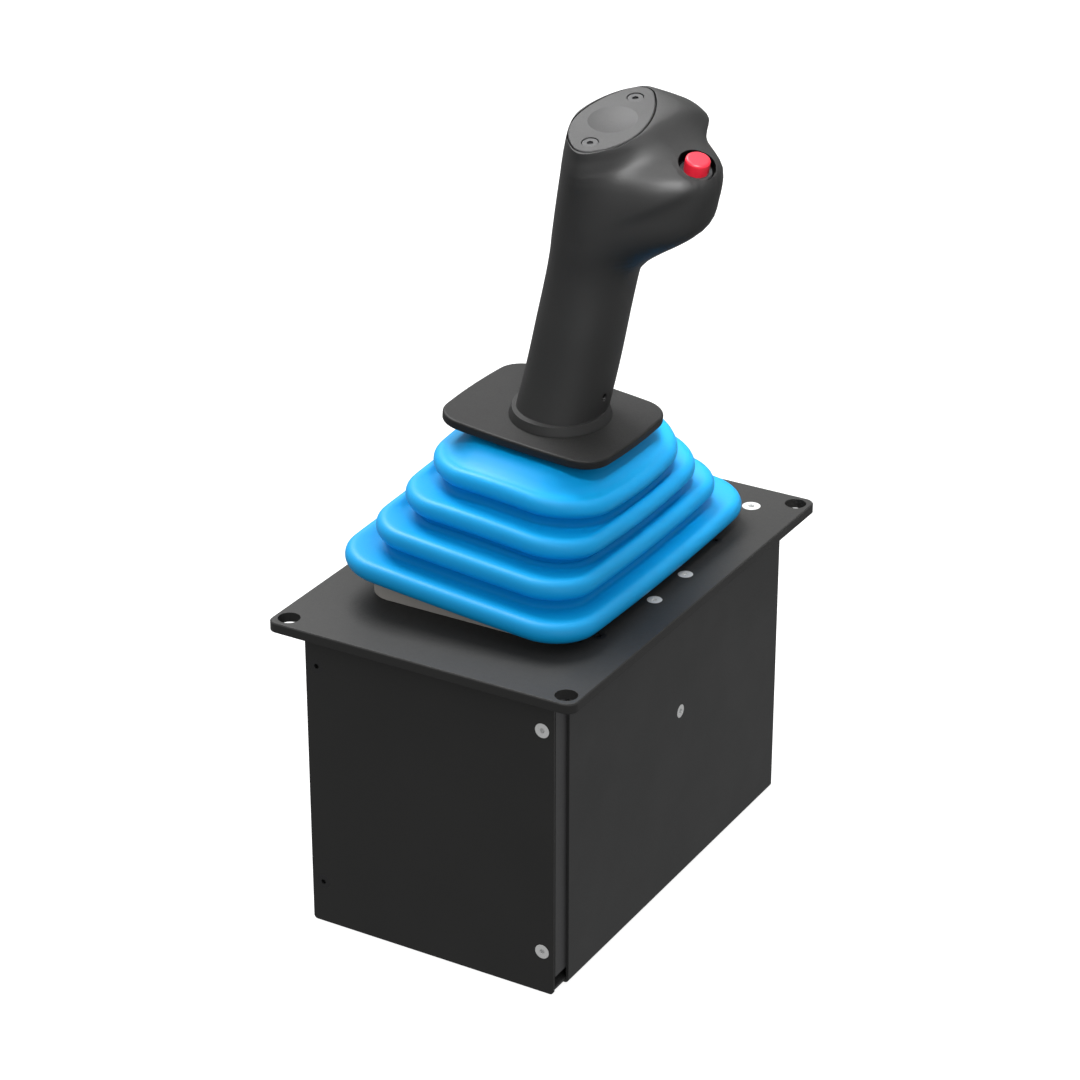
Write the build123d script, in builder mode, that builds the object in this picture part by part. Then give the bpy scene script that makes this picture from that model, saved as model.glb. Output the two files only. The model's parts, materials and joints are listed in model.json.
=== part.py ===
from build123d import *

import os
from math import atan2, cos, degrees, exp, hypot, pi, radians, sin

# Mounting plate and the box that hangs under it.
plate_length = 255.0
plate_width = 170.0
plate_thick = 5.0
plate_corner_r = 5.5
plate_edge_break = 0.6
pad_height = 0.5
mount_hole_d = 11.0
mount_spacing_x = 154.0
mount_spacing_y = 238.0
box_length = 235.0
box_width = 141.2
box_height = 163.5
cover_sheet = 1.5
cover_flange = 12.0
cover_bend_r = 2.2
cover_setback = 12.8
end_sheet = 2.5
end_inset = 1.2
end_corner_r = 2.0
end_groove = 1.1
tray_gap = 0.3
post_size = 12.0
post_foot = 9.0
beam_width = 20.0
beam_height = 12.0

# Window in the plate and the wedge frame that carries the boot.
window_width = 88.0
window_length = 134.0
window_corner_r = 10.0
frame_half_x = 55.0
frame_half_y = 82.0
frame_corner_r = 14.0
frame_rim = 6.0

# Neutral lean of the stick, to the pilot's right, and the place of its pivot.
lean = radians(5.1)
pivot_x = -8.0
pivot_y = 2.5
pivot_depth = 26.5

# Boot: four folds, each a rounded slab, measured along the leaning axis from the pivot.
boot_base = 34.0
fold_first = 42.6
fold_pitch = 15.2
fold_r = 6.5
fold_half_x = (68.5, 61.0, 51.8, 43.0)
fold_half_y = (97.8, 80.5, 69.5, 58.0)
fold_corner_r = (23.0, 22.0, 20.5, 19.5)
fold_bevel = 0.55
fold_valley = 8.0
boot_wall = 2.0
boot_top_half_x = 30.0
boot_top_half_y = 32.0
boot_top_corner_r = 12.0
boot_gap = 0.3

# Hand rest: a plate with bowed sides and a raised collar round the foot of the grip.
rest_top = 106.2
rest_thick = 4.8
rest_half_x = 46.9
rest_half_y = 41.5
rest_offset_x = -1.9
rest_offset_y = 0.5
rest_bow = 2.2
rest_corner_r = 16.0
rest_edge_r = 1.2
collar_height = 4.5
collar_margin = 3.4
collar_taper = 20.0

# Gimbal yoke, its shafts and bearings.
yoke_length = 88.0
yoke_width = 64.0
yoke_height = 24.0
yoke_side = 8.0
yoke_end = 10.0
yoke_corner_r = 8.0
yoke_boss_r = 11.0
yoke_boss = 3.0
pitch_bearing_bore = 10.0
pitch_bearing_od = 19.0
pitch_bearing_width = 5.0
roll_bearing_bore = 8.0
roll_bearing_od = 16.0
roll_bearing_width = 5.0
running_clearance = 0.02
shaft_hole_clearance = 1.0
shaft_end_gap = 1.6

# Bearing blocks under the plate's long edges.
block_thick = 12.0
block_half_y = 22.0
block_drop = 74.0
block_foot_half_y = 12.0
rail_width = 13.5
rail_half_y = 68.0
rail_height = 10.0

# Stick: hub on the roll shaft, socket and tube.
hub_r = 15.0
hub_length = 44.0
socket_r = 14.0
socket_top = 32.0
socket_screw_height = 24.0
socket_screw_proud = 0.8
tube_r = 10.0
tube_bore_r = 8.0
tube_foot = 13.0
tube_into_grip = 34.0
clamp_r = 18.0
clamp_height = 8.0
clamp_slot = 2.0

# Belt drives, one for each axis.
big_pulley_r = 18.0
small_pulley_r = 7.2
belt_thick = 1.6
belt_width = 6.0
belt_clearance = 0.08
pulley_flange = 1.0
pulley_flange_rise = 2.2
pulley_web = 3.0
pulley_standoff = 1.5
motor_size = 42.0
motor_length = 50.0
motor_corner_r = 6.0
motor_cap = 9.0
motor_pilot_r = 11.0
motor_pilot = 2.0
motor_shaft_r = 2.5
motor_shaft_bore = 12.0
motor_screw_span = 31.0
motor_screw_length = 9.0
bracket_screw_x = 14.5
bracket_screw_y = -4.0
bracket_thick = 4.0
bracket_foot = 22.0
bracket_margin = 3.0
roll_motor_drop = 60.0
pitch_motor_back = 68.0
pitch_motor_drop = 58.0
pitch_belt_offset = 42.0
encoder_r = 11.0
encoder_thick = 9.0

# Grip: sections from the foot to the crown, each on its own tilted plane.
face_half_x = 17.8
face_half_y = 31.0
face_end_r = 8.2
face_widest_y = -4.0
face_edge_r = 0.6
face_thick = 4.0
face_proud = 0.5
face_tilt = 13.2
face_roll = -3.3
face_groove = 0.7
face_dish_r = 62.0
face_dish_depth = 1.3
face_screw_span = 43.6
face_screw_recess = 8.4
face_screw_hole = 9.0
face_pocket = 10.0
thumb_x = 47.9
thumb_y = 28.5
thumb_height = 240.8
thumb_axis = (0.26, -0.20, 0.945)
thumb_lean = thumb_axis[0] / thumb_axis[2]
button_r = 6.1
button_length = 11.6
button_proud = 3.4
button_crown_r = 1.4
button_fit = 0.05
button_travel = 2.5
button_seat_gap = 0.6
thumb_recess_r = 9.2
thumb_recess_depth = 4.2
switch_r = 8.0
switch_rise = 0.8
switch_depth = 18.5
switch_bevel = 0.4
clamp_screw_height = 119.5
clamp_screw_angle = 12.0

# Fasteners.
m3_d = 3.0
m3_head_d = 5.8
m4_d = 4.0
m4_head_d = 7.6
cover_head_d = 7.0
cap_head_d = 7.0
m5_d = 5.0
m5_head_d = 9.5
screw_clearance = 0.25
plate_screw_length = 14.0
rail_screw_length = 12.0
cover_screw_length = 9.0
beam_screw_x = 58.5
block_screw_in = 3.1
block_screw_y = 16.0
rail_screw_in = 8.1
rail_screw_y = 60.0
end_screw_low = 23.0
end_screw_drop = 18.0
side_screw_y = 7.6
side_screw_drop = 65.3
socket_share = 0.31
set_socket_share = 0.25
cap_socket_share = 0.36
cap_socket_depth = 0.6
tap_floor = 1.0
drive_screw_short = 1.5
motor_screw_slack = 0.5
yoke_head_height = 1.2
yoke_screw_length = 11.0
face_head_height = 1.5
face_screw_length = 8.0
clamp_screw_length = 9.0
clamp_socket_depth = 3.0

# Small shares and margins of the drive, the boot and the face plate's seat.
shield_share = 0.12
shaft_bevel = 0.5
pulley_hole_margin = 0.8
motor_cap_step = 2.5
bracket_foot_trim = 1.0
encoder_bevel = 1.0
encoder_plug_width = 7.0
encoder_plug_low = 0.35
encoder_plug_share = 0.4
boot_lip_inset = 1.0
crown_start_share = 0.4
face_pocket_share = 0.62

# Board and connector.
chip_height = 2.4
board_chips = ((-20, 22, 14, 14), (20, 24, 18, 9), (-18, -26, 10, 22))
standoff_in = 6
sink_base = 2.5
fin_thick = 1.4
sink_place = (14, -14)
connector_flange_thick = 2.0
connector_depth = 8.0
connector_rim = 1.6
connector_pin_ring = 4.4
connector_pin_r = 0.9
connector_pin_depth = 3.0
board_length = 96.0
board_width = 78.0
board_thick = 1.6
board_y = 52.0
standoff_height = 9.0
standoff_r = 3.0
sink_length = 36.0
sink_width = 24.0
sink_height = 12.0
sink_fins = 6
connector_r = 9.0
connector_flange = 25.0
connector_reach = 7.5
connector_x = -34.0
connector_z = 46.0

# Levels and places that follow from the sizes above.
plate_bottom = box_height - pad_height
plate_top = box_height + plate_thick
plate_depth = plate_thick + pad_height
pivot_z = plate_top - pivot_depth
pulley_depth = belt_width + 2 * belt_clearance + 2 * pulley_flange
bracket_half = motor_size / 2 + bracket_margin
pitch_face_x = pivot_x - pitch_belt_offset + pulley_depth / 2
pitch_mount_x = pitch_face_x + pulley_standoff + bracket_thick
bracket_foot_places = [
    (pitch_mount_x + bracket_foot / 2 + 2, pivot_y - pitch_motor_back - bracket_half + reach)
    for reach in (6.0, 17.0)
]
cover_inner = box_width / 2 - cover_sheet
end_outer = box_length / 2
end_inner = end_outer - end_sheet
end_half_width = box_width / 2 - end_inset
post_x = cover_inner - post_size / 2
post_y = end_inner - post_size / 2
tray_bottom = cover_sheet
tray_top = tray_bottom + cover_sheet
pivot = Vector(pivot_x, pivot_y, pivot_z)
stick_plane = Plane(
    origin=pivot, x_dir=(cos(lean), 0, -sin(lean)), z_dir=(sin(lean), 0, cos(lean))
)
frame_x = pivot_x + sin(lean) * boot_base
frame_y = pivot_y
window_x = frame_x
window_y = pivot_y
rest_bottom = rest_top - rest_thick


def hex_socket_screws(groups, thread_d, head_d, length):
    # Countersunk screws with a hexagon socket, heads flush with each face they sit in.
    head_height = (head_d - thread_d) / 2
    with BuildPart() as screws:
        for face, places in groups:
            with Locations(face.location):
                with Locations(*places):
                    Cone(
                        thread_d / 2, head_d / 2, head_height,
                        align=(Align.CENTER, Align.CENTER, Align.MAX),
                    )
                with Locations(*[(x, y, -head_height) for x, y in places]):
                    Cylinder(
                        thread_d / 2, length - head_height,
                        align=(Align.CENTER, Align.CENTER, Align.MAX),
                    )
            with BuildSketch(face):
                with Locations(*places):
                    RegularPolygon(thread_d * socket_share, 6, major_radius=False)
            extrude(amount=-head_height, mode=Mode.SUBTRACT)
    return screws


def sink_holes(face, places, thread_d, head_d, depth):
    # Countersunk clearance holes for the screws above, cut from the same face.
    with Locations(face.location):
        with Locations(*places):
            CounterSinkHole(
                thread_d / 2 + screw_clearance, head_d / 2, depth,
                counter_sink_angle=90,
            )


def tapped_holes(face, places, thread_d, depth):
    with Locations(face.location):
        with Locations(*places):
            Hole(thread_d / 2, depth)


# Screw places shared by the plates and what they screw into.
end_beam_screws = [(side * beam_screw_x, end_inner - beam_width / 2) for side in (-1, 1)]
block_screw_x = cover_inner - block_screw_in
block_screws = [
    (side * block_screw_x, pivot_y + end * block_screw_y) for side in (-1, 1) for end in (-1, 1)
]
rail_screw_x = cover_inner - rail_screw_in
rail_screws = [(side * rail_screw_x, end * rail_screw_y) for side in (-1, 1) for end in (-1, 1)]
bracket_screws = [(side * bracket_screw_x, bracket_screw_y) for side in (-1, 1)]
end_screw_high = plate_bottom - end_screw_drop
side_screw_z = plate_bottom - side_screw_drop
top_face = Plane.XY.offset(plate_top)
near_face = Plane(origin=(0, -end_outer, 0), x_dir=(1, 0, 0), z_dir=(0, -1, 0))
far_face = Plane(origin=(0, end_outer, 0), x_dir=(-1, 0, 0), z_dir=(0, 1, 0))
right_face = Plane(origin=(box_width / 2, 0, 0), x_dir=(0, 1, 0), z_dir=(1, 0, 0))
left_face = Plane(origin=(-box_width / 2, 0, 0), x_dir=(0, -1, 0), z_dir=(-1, 0, 0))
end_bright = [(post_x, end_screw_low), (post_x, end_screw_high)]
end_dark = [(-post_x, end_screw_low), (-post_x, end_screw_high)]

# Mounting plate; a low pad under it locates the box and leaves a flat rim all round.
with BuildPart() as top_plate:
    with BuildSketch(Plane.XY.offset(box_height)):
        RectangleRounded(plate_width, plate_length, plate_corner_r)
        with GridLocations(mount_spacing_x, mount_spacing_y, 2, 2):
            Circle(mount_hole_d / 2, mode=Mode.SUBTRACT)
    extrude(amount=plate_thick)
    crown = top_plate.faces().sort_by(Axis.Z)[-1]
    chamfer(crown.outer_wire().edges(), plate_edge_break)
    with BuildSketch(Plane.XY.offset(plate_bottom)):
        Rectangle(box_width, box_length)
    extrude(amount=pad_height)
    with BuildSketch(Plane.XY.offset(plate_bottom)):
        with Locations((window_x, window_y)):
            RectangleRounded(window_width, window_length, window_corner_r)
    extrude(amount=plate_depth, mode=Mode.SUBTRACT)
    sink_holes(top_face, end_beam_screws, m5_d, m5_head_d, plate_depth)
    sink_holes(top_face, block_screws, m4_d, m4_head_d, plate_depth)
    sink_holes(top_face, rail_screws, m4_d, m4_head_d, plate_depth)
    tapped_holes(
        Plane(origin=(0, 0, plate_bottom), x_dir=(1, 0, 0), z_dir=(0, 0, -1)),
        [(x, -y) for x, y in bracket_foot_places], m4_d, plate_thick - tap_floor,
    )


def end_plate(face, screws, outlets=()):
    # Flat end plate; its back edges are bevelled, which leaves a shadow line at the posts.
    with BuildPart() as plate:
        with BuildSketch(face):
            with Locations((0, plate_bottom / 2)):
                RectangleRounded(2 * end_half_width, plate_bottom, end_corner_r)
        extrude(amount=-end_sheet)
        back = plate.faces().sort_by(Axis(face.origin, face.z_dir))[0]
        uprights = back.edges().filter_by(Axis.Z)
        chamfer(uprights, end_groove)
        sink_holes(face, screws, m4_d, m4_head_d, end_sheet)
        for x, z, radius in outlets:
            with Locations(face.location):
                with Locations((x, z)):
                    Hole(radius + screw_clearance, end_sheet)
    return plate


near_end_plate = end_plate(near_face, end_bright + end_dark)
far_end_plate = end_plate(
    far_face, end_bright + end_dark, [(-connector_x, connector_z, connector_r)]
)


def side_cover(side):
    # Folded sheet: the wall, and a flange along the bottom that carries the tray.
    with BuildPart() as cover:
        with BuildSketch(Plane(origin=(0, end_inner, 0), x_dir=(1, 0, 0), z_dir=(0, -1, 0))):
            wall_x = side * (box_width / 2 - cover_sheet / 2)
            with Locations((wall_x, plate_bottom / 2)):
                Rectangle(cover_sheet, plate_bottom)
            flange_x = side * (box_width / 2 - cover_flange / 2)
            with Locations((flange_x, cover_sheet / 2)):
                Rectangle(cover_flange, cover_sheet)
        extrude(amount=2 * end_inner - cover_setback + end_sheet)
        corner = cover.edges().filter_by(Axis.Y).group_by(Axis.Z)[0]
        fillet(corner.sort_by(Axis.X)[-1 if side > 0 else 0], cover_bend_r)
        face = right_face if side > 0 else left_face
        sink_holes(face, [(side * side_screw_y, side_screw_z)], m4_d, cover_head_d, cover_sheet)
    return cover


right_side_cover = side_cover(1)
left_side_cover = side_cover(-1)

# Tray that closes the bottom, lying on the covers' flanges.
with BuildPart() as bottom_tray:
    with BuildSketch(Plane.XY.offset(tray_bottom)):
        Rectangle(2 * (cover_inner - tray_gap), 2 * end_inner)
        with GridLocations(14, 0, 5, 1):
            SlotOverall(46, 4, rotation=90, mode=Mode.SUBTRACT)
    extrude(amount=cover_sheet)


def corner_post(side, end):
    # Square post, tapped for the end plate's screws.
    top = plate_bottom if end < 0 else plate_bottom - beam_height
    with BuildPart() as post:
        with BuildSketch(Plane.XY.offset(post_foot)):
            with Locations((side * post_x, end * post_y)):
                Rectangle(post_size, post_size)
        extrude(amount=top - post_foot)
        face = near_face if end < 0 else far_face
        across = side * post_x if end < 0 else -side * post_x
        places = [(across, end_screw_low), (across, end_screw_high)]
        tapped_holes(face.offset(-end_sheet), places, m4_d, post_size)
    return post


posts = {
    f"post_{end_name}_{side_name}": corner_post(side, end)
    for end_name, end in (("near", -1), ("far", 1))
    for side_name, side in (("left", -1), ("right", 1))
}

# Cross beam under the plate's far edge.
with BuildPart() as far_cross_beam:
    with BuildSketch(Plane.XY.offset(plate_bottom)):
        with Locations((0, end_inner - beam_width / 2)):
            Rectangle(2 * cover_inner, beam_width)
    extrude(amount=-beam_height)
    tapped_holes(Plane.XY.offset(plate_bottom), end_beam_screws, m5_d, beam_height)


def bearing_block(side):
    # Rail under the plate's edge with a tapering block that holds one pitch bearing.
    inner_x = side * (cover_inner - block_thick)
    with BuildPart() as block:
        with BuildSketch(Plane(origin=(inner_x, 0, 0), x_dir=(0, 1, 0), z_dir=(1, 0, 0))):
            with BuildLine():
                low = plate_bottom - block_drop
                shoulder = pivot_z - pitch_bearing_od
                Polyline(
                    (pivot_y - block_half_y, plate_bottom),
                    (pivot_y - block_half_y, shoulder),
                    (pivot_y - block_foot_half_y, low),
                    (pivot_y + block_foot_half_y, low),
                    (pivot_y + block_half_y, shoulder),
                    (pivot_y + block_half_y, plate_bottom),
                    close=True,
                )
            make_face()
        extrude(amount=side * block_thick)
        with BuildSketch(Plane.XY.offset(plate_bottom)):
            with Locations((side * (cover_inner - rail_width / 2), 0)):
                Rectangle(rail_width, 2 * rail_half_y)
        extrude(amount=-rail_height)
        seat = Plane(origin=(inner_x, pivot_y, pivot_z), x_dir=(0, 1, 0), z_dir=(-side, 0, 0))
        with Locations(seat.location):
            CounterBoreHole(
                pitch_bearing_bore / 2 + shaft_hole_clearance, pitch_bearing_od / 2,
                pitch_bearing_width, block_thick,
            )
        places = [(x, y) for x, y in block_screws if x * side > 0]
        tapped_holes(Plane.XY.offset(plate_bottom), places, m4_d, plate_screw_length - 2.0)
        places = [(x, y) for x, y in rail_screws if x * side > 0]
        tapped_holes(Plane.XY.offset(plate_bottom), places, m4_d, rail_height)
        face = right_face if side > 0 else left_face
        tapped_holes(
            face.offset(-cover_sheet), [(side * side_screw_y, side_screw_z)], m4_d,
            cover_screw_length,
        )
    return block


left_bearing_block = bearing_block(-1)
right_bearing_block = bearing_block(1)


def ball_bearing(seat, bore, od, width):
    # Shielded bearing, its shields set back between the two races.
    race = (od - bore) / 6
    shield = width * shield_share
    with BuildPart() as bearing:
        with BuildSketch(seat):
            Circle(od / 2)
            Circle(bore / 2, mode=Mode.SUBTRACT)
        extrude(amount=-width)
        for plane in (seat, seat.offset(-width + shield)):
            with BuildSketch(plane):
                Circle(od / 2 - race)
                Circle(bore / 2 + race, mode=Mode.SUBTRACT)
            extrude(amount=-shield, mode=Mode.SUBTRACT)
    return bearing


block_inner = cover_inner - block_thick
pitch_bearing_left = ball_bearing(
    Plane(origin=(-block_inner, pivot_y, pivot_z), x_dir=(0, 1, 0), z_dir=(1, 0, 0)),
    pitch_bearing_bore, pitch_bearing_od, pitch_bearing_width,
)
pitch_bearing_right = ball_bearing(
    Plane(origin=(block_inner, pivot_y, pivot_z), x_dir=(0, 1, 0), z_dir=(-1, 0, 0)),
    pitch_bearing_bore, pitch_bearing_od, pitch_bearing_width,
)
yoke_front = Plane(
    origin=(pivot_x, pivot_y + yoke_length / 2, pivot_z), x_dir=(-1, 0, 0), z_dir=(0, 1, 0)
)
yoke_rear = Plane(
    origin=(pivot_x, pivot_y - yoke_length / 2, pivot_z), x_dir=(1, 0, 0), z_dir=(0, -1, 0)
)
roll_bearing_front = ball_bearing(
    yoke_front, roll_bearing_bore, roll_bearing_od, roll_bearing_width
)
roll_bearing_rear = ball_bearing(
    yoke_rear, roll_bearing_bore, roll_bearing_od, roll_bearing_width
)

# Yoke: a ring round the stick's hub, bossed where the shafts pass.
pitch_shaft_r = pitch_bearing_bore / 2 - running_clearance
roll_shaft_r = roll_bearing_bore / 2 - running_clearance
with BuildPart() as gimbal_yoke:
    with BuildSketch(Plane(origin=pivot).offset(-yoke_height / 2)):
        RectangleRounded(yoke_width, yoke_length, yoke_corner_r)
        RectangleRounded(
            yoke_width - 2 * yoke_side, yoke_length - 2 * yoke_end, yoke_corner_r / 2,
            mode=Mode.SUBTRACT,
        )
    extrude(amount=yoke_height)
    for side in (-1, 1):
        cheek = Plane(
            origin=(pivot_x + side * yoke_width / 2, pivot_y, pivot_z),
            x_dir=(0, 1, 0), z_dir=(side, 0, 0),
        )
        with BuildSketch(cheek):
            Circle(yoke_boss_r)
        extrude(amount=yoke_boss)
        with Locations(cheek.offset(yoke_boss).location):
            Hole(pitch_shaft_r, yoke_side + yoke_boss)
    for seat in (yoke_front, yoke_rear):
        with Locations(seat.location):
            CounterBoreHole(
                roll_bearing_bore / 2 + shaft_hole_clearance, roll_bearing_od / 2,
                roll_bearing_width, yoke_end,
            )
    tapped_holes(yoke_front, bracket_screws, m3_d, yoke_end - tap_floor)


def pitch_shaft(side):
    # Stub shaft, pressed in the yoke's cheek and turning in the block's bearing.
    start = pivot_x + side * (yoke_width / 2 - yoke_side)
    end = side * (cover_inner - shaft_end_gap)
    with BuildPart() as shaft:
        with BuildSketch(Plane(origin=(start, pivot_y, pivot_z), x_dir=(0, 1, 0), z_dir=(side, 0, 0))):
            Circle(pitch_shaft_r)
        extrude(amount=abs(end - start))
        chamfer(shaft.edges().filter_by(GeomType.CIRCLE), shaft_bevel)
    return shaft


pitch_shaft_left = pitch_shaft(-1)
pitch_shaft_right = pitch_shaft(1)


def pulley(hub_plane, outer_r, bore_r):
    # Flanged belt pulley, its front face on the plane; large ones are dished and drilled.
    with BuildPart() as wheel:
        with BuildSketch(hub_plane):
            Circle(outer_r + pulley_flange_rise)
        extrude(amount=-pulley_flange)
        with BuildSketch(hub_plane.offset(-pulley_flange)):
            Circle(outer_r)
        extrude(amount=-belt_width - 2 * belt_clearance)
        with BuildSketch(hub_plane.offset(-pulley_flange - belt_width - 2 * belt_clearance)):
            Circle(outer_r + pulley_flange_rise)
        extrude(amount=-pulley_flange)
        if outer_r > 3 * bore_r:
            rim_r = outer_r - pulley_web
            hub_outer = bore_r + pulley_web
            with BuildSketch(hub_plane):
                Circle(rim_r)
                Circle(hub_outer, mode=Mode.SUBTRACT)
            extrude(amount=-(belt_width + 2 * pulley_flange - pulley_web) / 2, mode=Mode.SUBTRACT)
            with Locations(hub_plane.location):
                with PolarLocations((rim_r + hub_outer) / 2, 5):
                    Hole((rim_r - hub_outer) / 2 - pulley_hole_margin, belt_width + 4 * pulley_flange)
        with Locations(hub_plane.location):
            Hole(bore_r, belt_width + 4 * pulley_flange)
    return wheel


pitch_drive_face = Plane(
    origin=(pitch_face_x, pivot_y, pivot_z),
    x_dir=(0, 1, 0), z_dir=(1, 0, 0),
)
roll_drive_face = Plane(
    origin=(
        pivot_x,
        pivot_y + yoke_length / 2 + bracket_thick + pulley_standoff + pulley_depth,
        pivot_z,
    ),
    x_dir=(-1, 0, 0), z_dir=(0, 1, 0),
)
pitch_motor_at = Vector(-pitch_motor_back, -pitch_motor_drop)
roll_motor_at = Vector(0, -roll_motor_drop)


def local_plane(base, at, lift=0.0):
    # Plane parallel to base, its origin moved to a point given in base's own x and y.
    origin = base.origin + base.x_dir * at.X + base.y_dir * at.Y + base.z_dir * lift
    return Plane(origin=origin, x_dir=base.x_dir, z_dir=base.z_dir)


pitch_pulley = pulley(pitch_drive_face, big_pulley_r, pitch_shaft_r)
roll_pulley = pulley(roll_drive_face, big_pulley_r, roll_shaft_r)
pitch_motor_pulley = pulley(
    local_plane(pitch_drive_face, pitch_motor_at), small_pulley_r, motor_shaft_r
)
roll_motor_pulley = pulley(
    local_plane(roll_drive_face, roll_motor_at), small_pulley_r, motor_shaft_r
)


def belt(face, motor_at):
    # Belt round the two pulleys, clear of their rims and flanges.
    inner = belt_clearance
    outer = belt_clearance + belt_thick
    with BuildPart() as loop:
        for grow, mode in ((outer, Mode.ADD), (inner, Mode.SUBTRACT)):
            with BuildSketch(local_plane(face, Vector(0, 0), -pulley_flange - belt_clearance)) as run:
                Circle(big_pulley_r + grow)
                with Locations((motor_at.X, motor_at.Y)):
                    Circle(small_pulley_r + grow)
                make_hull()
            extrude(amount=-belt_width, mode=mode)
    return loop


pitch_belt = belt(pitch_drive_face, pitch_motor_at)
roll_belt = belt(roll_drive_face, roll_motor_at)


def servo_motor(mount):
    # Square-bodied motor, its front on the plane, with a stepped end cap and front pilot.
    with BuildPart() as motor:
        with BuildSketch(mount):
            RectangleRounded(motor_size, motor_size, motor_corner_r)
        extrude(amount=-(motor_length - motor_cap))
        with BuildSketch(mount.offset(-(motor_length - motor_cap))):
            Circle(motor_size / 2 - motor_cap_step)
        extrude(amount=-motor_cap)
        with BuildSketch(mount):
            Circle(motor_pilot_r)
        extrude(amount=motor_pilot)
        with Locations(mount.offset(motor_pilot).location):
            Hole(motor_shaft_r + running_clearance, motor_shaft_bore)
        tapped_holes(mount, motor_screws, m3_d, motor_screw_length - bracket_thick)
    return motor


def motor_shaft(mount, reach):
    with BuildPart() as shaft:
        with BuildSketch(mount.offset(motor_pilot - motor_shaft_bore)):
            Circle(motor_shaft_r)
        extrude(amount=motor_shaft_bore - motor_pilot + reach)
    return shaft


roll_mount = local_plane(yoke_front, roll_motor_at)
pitch_mount = Plane(
    origin=(pitch_mount_x, pivot_y - pitch_motor_back, pivot_z - pitch_motor_drop),
    x_dir=(0, 1, 0), z_dir=(-1, 0, 0),
)
motor_screws = [
    (x * motor_screw_span / 2, y * motor_screw_span / 2) for x in (-1, 1) for y in (-1, 1)
]
roll_motor = servo_motor(roll_mount)
pitch_motor = servo_motor(pitch_mount)
roll_motor_shaft = motor_shaft(roll_mount, bracket_thick + pulley_standoff + pulley_depth)
pitch_motor_shaft = motor_shaft(pitch_mount, bracket_thick + pulley_standoff + pulley_depth)

# Bracket on the yoke's front that carries the roll motor below it.
with BuildPart() as roll_motor_bracket:
    with BuildSketch(yoke_front):
        with BuildLine():
            wide = bracket_half
            foot = -roll_motor_drop - wide
            Polyline(
                (-yoke_boss_r, yoke_height / 2), (yoke_boss_r, yoke_height / 2),
                (wide, -yoke_height / 2), (wide, foot), (-wide, foot),
                (-wide, -yoke_height / 2), close=True,
            )
        make_face()
        Circle(roll_bearing_od / 2 - 1, mode=Mode.SUBTRACT)
        with Locations((0, -roll_motor_drop)):
            Circle(motor_pilot_r, mode=Mode.SUBTRACT)
    extrude(amount=bracket_thick)
    fillet(roll_motor_bracket.edges().filter_by(Axis.Y).group_by(Axis.Z)[0], 5)
    sink_holes(
        roll_mount.offset(bracket_thick), motor_screws, m3_d, m3_head_d, bracket_thick
    )
    tapped_holes(
        yoke_front.offset(bracket_thick), bracket_screws, m3_d + 2 * screw_clearance,
        bracket_thick,
    )

# Bracket under the plate that carries the pitch motor: a web, and a foot bolted to the plate.
bracket_rise = plate_bottom - pitch_mount.origin.Z
with BuildPart() as pitch_motor_bracket:
    with BuildSketch(Plane(origin=pitch_mount.origin, x_dir=(0, 1, 0), z_dir=(1, 0, 0))):
        with BuildLine():
            Polyline(
                (-bracket_half, -bracket_half), (bracket_half, -bracket_half),
                (bracket_half, bracket_half), (0, bracket_rise),
                (-bracket_half, bracket_rise), close=True,
            )
        make_face()
        Circle(motor_pilot_r, mode=Mode.SUBTRACT)
    extrude(amount=-bracket_thick)
    with BuildSketch(Plane(origin=pitch_mount.origin, x_dir=(0, 1, 0), z_dir=(1, 0, 0))):
        with Locations((-(bracket_half + bracket_foot_trim) / 2, bracket_rise - bracket_thick / 2)):
            Rectangle(bracket_half - bracket_foot_trim, bracket_thick)
    extrude(amount=bracket_foot)
    tapped_holes(
        Plane(origin=(0, 0, plate_bottom - bracket_thick), x_dir=(1, 0, 0), z_dir=(0, 0, -1)),
        [(x, -y) for x, y in bracket_foot_places], m4_d + 2 * screw_clearance, bracket_thick,
    )
    sink_holes(
        pitch_mount.offset(bracket_thick), motor_screws, m3_d, m3_head_d, bracket_thick
    )

def cap_screws(seats, thread_d, head_d, head_height, length):
    # Socket cap screws; each seat is a plane on the clamped face, looking out of it.
    with BuildPart() as screws:
        for seat in seats:
            with BuildSketch(seat):
                Circle(head_d / 2)
            extrude(amount=head_height)
            with BuildSketch(seat):
                Circle(thread_d / 2)
            extrude(amount=-length)
            with BuildSketch(seat.offset(head_height)):
                RegularPolygon(thread_d * cap_socket_share, 6, major_radius=False)
            extrude(amount=-head_height * cap_socket_depth, mode=Mode.SUBTRACT)
    return screws


# Rotation sensors, one on each axis.
def encoder(face, bore_r):
    with BuildPart() as sensor:
        with BuildSketch(face):
            Circle(encoder_r)
            Circle(bore_r + running_clearance, mode=Mode.SUBTRACT)
        extrude(amount=encoder_thick)
        outer = sensor.faces().sort_by(Axis(face.origin, face.z_dir))[-1]
        chamfer(outer.outer_wire().edges(), encoder_bevel)
        with BuildSketch(face.offset(encoder_thick * encoder_plug_low)):
            with Locations((0, -encoder_r)):
                Rectangle(encoder_r, encoder_plug_width)
            Circle(encoder_r - encoder_bevel, mode=Mode.SUBTRACT)
        extrude(amount=encoder_thick * encoder_plug_share)
    return sensor


pitch_encoder = encoder(
    Plane(origin=(block_inner, pivot_y, pivot_z), x_dir=(0, 1, 0), z_dir=(-1, 0, 0)), pitch_shaft_r
)
roll_encoder = encoder(yoke_rear, roll_shaft_r)

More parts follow.
